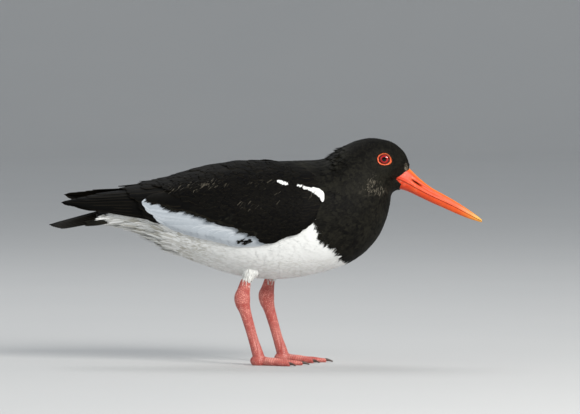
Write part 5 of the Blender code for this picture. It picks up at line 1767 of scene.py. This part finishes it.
def make_leg(side, name):
    """Bare leg and foot in one scaly skin, with its claws beside it."""
    forms = []
    sections = whole_curve(LEG_SECTIONS, LEG_ROWS)
    forms.append(closed_form(limb_rings(sections, LEG_SIDES, side)))
    shift, out = LEG_SHIFT[side], side * LEG_SPREAD
    latitude = np.linspace(0.05, np.pi - 0.05, 24)[:, None]
    turn = np.linspace(0, 2 * np.pi, LEG_SIDES, endpoint=False)[None, :]
    pad = np.stack([
        FOOT_CENTRE_X + shift - PAD_BACK + PAD_RADII[0] * np.sin(latitude) * np.cos(turn),
        out + PAD_RADII[1] * np.sin(latitude) * np.sin(turn),
        np.maximum(PAD_HEIGHT + PAD_RADII[2] * np.cos(latitude) + 0 * turn, 0.0),
    ], axis=-1)
    forms.append(closed_form(pad))
    claws, tips = [], {}
    for toe, centre, run, across, length in toe_frames(side):
        rows = whole_curve(TOE_SECTIONS, TOE_ROWS) * np.array([length, 1, 1, 1])
        forms.append(closed_form(toe_rings(rows, centre, run, across)))
        rows = whole_curve(CLAW_SECTIONS, CLAW_ROWS) + np.array([length, 0, 0, 0])
        claws.append(closed_form(toe_rings(rows, centre, run, across, 16)))
        tips[toe] = centre + run * length
    for toe, reach in WEB_REACH.items():
        corners = [centre, centre + (tips["middle"] - centre) * reach, centre + (tips[toe] - centre) * reach]
        low, high = (np.array([[c[0], c[1], z] for c in corners]) for z in (WEB_BOTTOM, WEB_TOP))
        forms.append(closed_form(np.stack([low, high])))
    leg = remeshed(join_forms(forms, f"visual_leg_{name}"), LEG_VOXEL, 4)
    points, normals = mesh_arrays(leg.data)
    spacing = SCALE_SPACING * np.interp(points[:, 2], [0, 12, 30, 70], [0.8, 0.9, 1.0, 1.05])
    seeds = spread_seeds(points, spacing)
    tree = KDTree(len(seeds))
    for k, seed in enumerate(seeds):
        tree.insert(Vector(points[seed]), k)
    tree.balance()
    edge, shade = np.zeros(len(points)), np.zeros(len(points))
    shades = rng.random(len(seeds))
    for k, point in enumerate(points):
        (_, first, near), (_, _, far) = tree.find_n(Vector(point), 2)
        edge[k], shade[k] = (far - near) / 2, shades[first]
    scale = smooth(edge, 0.0, SCALE_EDGE)
    for toe, centre, run, across, length in toe_frames(side):
        distance = (points - centre) @ run
        beside = np.abs((points - centre) @ across)
        on_toe = (distance > SCUTES_FROM) & (distance < length) & (beside < SCUTE_REACH)
        on_toe &= normals[:, 2] > 0.1
        row = distance / SCUTE_PITCH + 0.5
        band = np.abs(np.mod(row, 1) - 0.5) * SCUTE_PITCH
        scale = np.where(on_toe, smooth(band, 0.0, SCUTE_EDGE), scale)
        shade = np.where(on_toe, 0.4 + 0.3 * np.sin(np.floor(row) * 12.9), shade)
    groove_x = np.interp(points[:, 2], *LEG_GROOVE) + shift
    groove = np.exp(-(((points[:, 0] - groove_x) / 0.9) ** 2)) * (points[:, 2] > 12) * (points[:, 2] < 54)
    sole = smooth(points[:, 2], 0.0, 0.9)
    points = points + normals * ((SCALE_HEIGHT * (scale - 1) - LEG_GROOVE_DEPTH * groove) * sole)[:, None]
    points[:, 2] = np.maximum(points[:, 2], 0.0)
    leg.data.vertices.foreach_set("co", (points * MM).astype(np.float32).ravel())
    set_numbers(leg.data, {"scale": scale, "shade": shade})
    leg.data.update()
    leg.data.materials.append(LEG_FINISH)
    settle(leg, (f"tibia_{name}", f"tarsus_{name}", f"foot_{name}"))
    horn = join_forms(claws, f"visual_claws_{name}")
    horn.data.materials.append(CLAW_FINISH)
    settle(horn, (f"foot_{name}",))


def bill_finish():
    """Red horn, paler towards the tip, streaked along and worn at its base, with a painted highlight along its
    top and painted shade in the nostril.
    """
    finish, tree, shader = new_finish(
        "bill_horn", (0.8, 0.12, 0.04), 0.34, Specular_IOR_Level=0.32, Subsurface_Weight=0.04,
        Subsurface_Scale=0.003,
        Subsurface_Radius=(1.0, 0.3, 0.1),
    )
    place = object_place(tree)
    parts = add_node(tree, "ShaderNodeSeparateXYZ", {0: place}).outputs
    stretched = add_node(tree, "ShaderNodeMapping", {"Vector": place, "Scale": (60.0, 500.0, 240.0)})
    streaks = noise(tree, stretched.outputs[0], 1.0, 3.0)
    clouds = noise(tree, place, 90.0, 3.0)
    to_tip = ranged(tree, parts[0], 0.165, 0.188)
    colour = mixed(tree, ranged(tree, parts[0], 0.115, 0.170), (0.68, 0.048, 0.010), (0.78, 0.090, 0.012))
    # A painted highlight: the top of the upper half is a paler orange
    colour = mixed(tree, number(tree, "ridge"), colour, (0.82, 0.18, 0.022))
    colour = mixed(tree, maths(tree, "POWER", to_tip, 1.8), colour, (0.86, 0.44, 0.06))
    colour = mixed(tree, ranged(tree, clouds, 0.5, 0.75, 0.0, 0.35), colour, (0.82, 0.15, 0.03))
    colour = mixed(tree, ranged(tree, streaks, 0.5, 0.85, 0.0, 0.4), colour, (0.45, 0.03, 0.014))
    spots = ranged(tree, noise(tree, place, 260.0, 4.0, 0.7), 0.55, 0.72)
    worn = times(tree, spots, ranged(tree, parts[0], 0.140, 0.120))
    colour = mixed(tree, times(tree, worn, 0.5), colour, (0.86, 0.42, 0.24))
    # Painted shade: the nostril's slit is near black
    colour = mixed(tree, number(tree, "nostril_shade"), colour, (0.05, 0.006, 0.004))
    tree.links.new(colour, shader.inputs["Base Color"])
    tree.links.new(ranged(tree, clouds, 0.3, 0.7, 0.34, 0.52), shader.inputs["Roughness"])
    flakes = noise(tree, place, 380.0, 4.0, 0.65)
    near_base = ranged(tree, parts[0], 0.150, 0.122)
    relief = plus(tree, streaks, times(tree, flakes, ranged(tree, near_base, 0.0, 1.0, 0.3, 1.2)))
    bump(tree, shader, relief, 0.5, 0.0003)
    return finish


def eye_finish():
    """Red iris with a dark rim, round a black pupil."""
    finish, tree, shader = new_finish(
        "eyeball", (0.3, 0.01, 0.008), 0.12, Coat_Weight=0.6, Coat_Roughness=0.02, Specular_IOR_Level=0.08,
    )
    parts = add_node(tree, "ShaderNodeSeparateXYZ", {0: object_place(tree)}).outputs
    dx = maths(tree, "SUBTRACT", parts[0], EYE[0] * MM)
    dz = maths(tree, "SUBTRACT", parts[2], EYE[1] * MM)
    away = maths(tree, "SQRT", plus(tree, times(tree, dx, dx), times(tree, dz, dz)))
    turn = maths(tree, "ARCTAN2", dz, dx)
    place = vector(tree, maths(tree, "SINE", turn), maths(tree, "COSINE", turn), times(tree, away, 120.0))
    rays = noise(tree, place, 9.0, 3.0)
    iris = mixed(tree, rays, (0.25, 0.003, 0.004), (0.62, 0.012, 0.012))
    iris = mixed(tree, ranged(tree, away, 0.0028, 0.0039), iris, (0.06, 0.004, 0.004))
    colour = mixed(tree, ranged(tree, away, 0.0020, 0.00225), (0.003, 0.002, 0.002), iris)
    tree.links.new(colour, shader.inputs["Base Color"])
    return finish


def grained_finish(name, roughness, scale, deep, light, relief=None, **sockets):
    """A finely grained colour between two; relief is the strength and distance of its bump."""
    finish, tree, shader = new_finish(name, light, roughness, **sockets)
    grain = noise(tree, object_place(tree), scale, 2.0)
    tree.links.new(mixed(tree, grain, deep, light), shader.inputs["Base Color"])
    if relief:
        bump(tree, shader, grain, *relief)
    return finish


def leg_finish():
    """Pink scales over darker seams."""
    finish, tree, shader = new_finish(
        "leg_skin", (0.6, 0.17, 0.14), 0.4, Specular_IOR_Level=0.5, Subsurface_Weight=0.03,
        Subsurface_Scale=0.002,
        Subsurface_Radius=(1.0, 0.35, 0.25),
    )
    scale, shade = number(tree, "scale"), number(tree, "shade")
    clouds = noise(tree, object_place(tree), 120.0, 3.0)
    level = plus(tree, times(tree, shade, 0.7), ranged(tree, clouds, 0.35, 0.65, -0.2, 0.5))
    tops = mixed(tree, level, (0.48, 0.09, 0.07), (0.74, 0.29, 0.235))
    colour = mixed(tree, scale, (0.33, 0.042, 0.035), tops)
    tree.links.new(colour, shader.inputs["Base Color"])
    bump(tree, shader, noise(tree, object_place(tree), 1500.0, 2.0), 0.35, 0.0001)
    return finish


BILL, EYE_FINISH, LEG_FINISH = bill_finish(), eye_finish(), leg_finish()
LID_FINISH = grained_finish(
    "eyelid_skin", 0.4, 900.0, (0.62, 0.05, 0.02), (0.92, 0.20, 0.05), (0.5, 0.0002), Specular_IOR_Level=0.5
)
CLAW_FINISH = grained_finish("claw_horn", 0.4, 500.0, (0.025, 0.018, 0.016), (0.12, 0.07, 0.055))
# The lining's dark red-brown is a painted shade in the gap between the bill's halves
MOUTH_SHADE = grained_finish("mouth_shade", 0.5, 700.0, (0.03, 0.006, 0.005), (0.10, 0.018, 0.012))


def tail_finish():
    """Black vanes with the white base of a tail feather."""
    finish = BLACK_VANE.copy()
    finish.name = "tail_vanes"
    tree = finish.node_tree
    shader = next(made for made in tree.nodes if made.type == "BSDF_PRINCIPLED")
    old = shader.inputs["Base Color"].links[0].from_socket
    tree.links.new(mixed(tree, number(tree, "pale"), old, (0.86, 0.87, 0.88)), shader.inputs["Base Color"])
    return finish


TAIL_VANE = tail_finish()


FLOOR_PROFILE = [(0.5, 0.0), (1.5, 0.0), (4.0, 0.0), (7.0, 0.0)] + [
    (7.0 + 2.5 * math.sin(t), 2.5 - 2.5 * math.cos(t)) for t in np.linspace(0.1, math.pi / 2, 14)
] + [(9.5, 3.6)]
FLOOR_SIDES = 96


def make_floor():
    """A round pale floor that curves up far away on all sides."""
    turn = np.linspace(0, 2 * np.pi, FLOOR_SIDES, endpoint=False)
    reach, height = np.array(FLOOR_PROFILE).T[:, :, None]
    rings = np.stack([reach * np.cos(turn), reach * np.sin(turn), height + 0 * turn], axis=-1)
    faces = [tuple(range(FLOOR_SIDES))]
    for i in range(len(rings) - 1):
        for j in range(FLOOR_SIDES):
            a, b = i * FLOOR_SIDES + j, i * FLOOR_SIDES + (j + 1) % FLOOR_SIDES
            faces.append((a, a + FLOOR_SIDES, b + FLOOR_SIDES, b))
    mesh = bpy.data.meshes.new("floor")
    mesh.from_pydata(rings.reshape(-1, 3).tolist(), [], faces)
    mesh.shade_smooth()
    mesh.materials.append(grained_finish("floor", 0.85, 3.0, (0.55, 0.555, 0.555), (0.58, 0.58, 0.575)))
    linked("floor", mesh)


def add_light(name, place, target, size, power, colour):
    """A round lamp that looks at its target."""
    lamp = bpy.data.lights.new(name, "AREA")
    lamp.shape, lamp.size, lamp.energy, lamp.color = "DISK", size, power, colour
    made = linked(name, lamp)
    made.location = place
    made.rotation_euler = (Vector(target) - Vector(place)).to_track_quat("-Z", "Y").to_euler()


# Lamps: place, target, size and power, in metres and watts, and colour; and the sky's light
MIDDLE = (0.0, 0.0, 0.12)
LIGHTS = {
    "key": ((1.55, -1.95, 1.45), MIDDLE, 1.2, 78.0, (1.0, 0.98, 0.94)),
    "fill": ((-1.8, -1.7, 0.8), MIDDLE, 1.5, 6.0, (0.90, 0.95, 1.0)),
    "top": ((-0.5, 1.2, 2.2), MIDDLE, 1.2, 14.0, (1, 1, 1)),
}
SKY, SKY_STRENGTH = (0.80, 0.84, 0.88, 1), 0.62
# In metres: what the camera looks at (x and z), its distance and rise; then its focal length
CAMERA_AIM, CAMERA_DISTANCE, CAMERA_RISE, CAMERA_LENS = (0.02024, 0.1382), 5.0, math.radians(2), 352.66


def make_stage():
    """Floor, lamps, sky and camera."""
    make_floor()
    for name, light in LIGHTS.items():
        add_light(name, *light)
    world = bpy.data.worlds.new("studio")
    bpy.context.scene.world = world
    world.use_nodes = True
    sky = world.node_tree.nodes["Background"].inputs
    sky["Color"].default_value, sky["Strength"].default_value = SKY, SKY_STRENGTH
    lens = bpy.data.cameras.new("camera")
    lens.lens, lens.sensor_width = CAMERA_LENS, 36.0
    lens.clip_end = 30.0
    camera = linked("camera", lens)
    back, up = CAMERA_DISTANCE * math.cos(CAMERA_RISE), CAMERA_DISTANCE * math.sin(CAMERA_RISE)
    camera.location = (CAMERA_AIM[0], -back, CAMERA_AIM[1] + up)
    target = Vector((CAMERA_AIM[0], 0, CAMERA_AIM[1]))
    camera.rotation_euler = (target - camera.location).to_track_quat("-Z", "Y").to_euler()
    bpy.context.scene.camera = camera
    bpy.context.scene.view_settings.view_transform = "Standard"


make_skin()
make_body_coat()
make_wings()
make_tail()
make_thighs()
make_bill()
make_mouth()
for body_side, side_name in SIDES.items():
    make_eye(body_side, side_name)
    make_lid(body_side, side_name)
    make_leg(body_side, side_name)
make_stage()
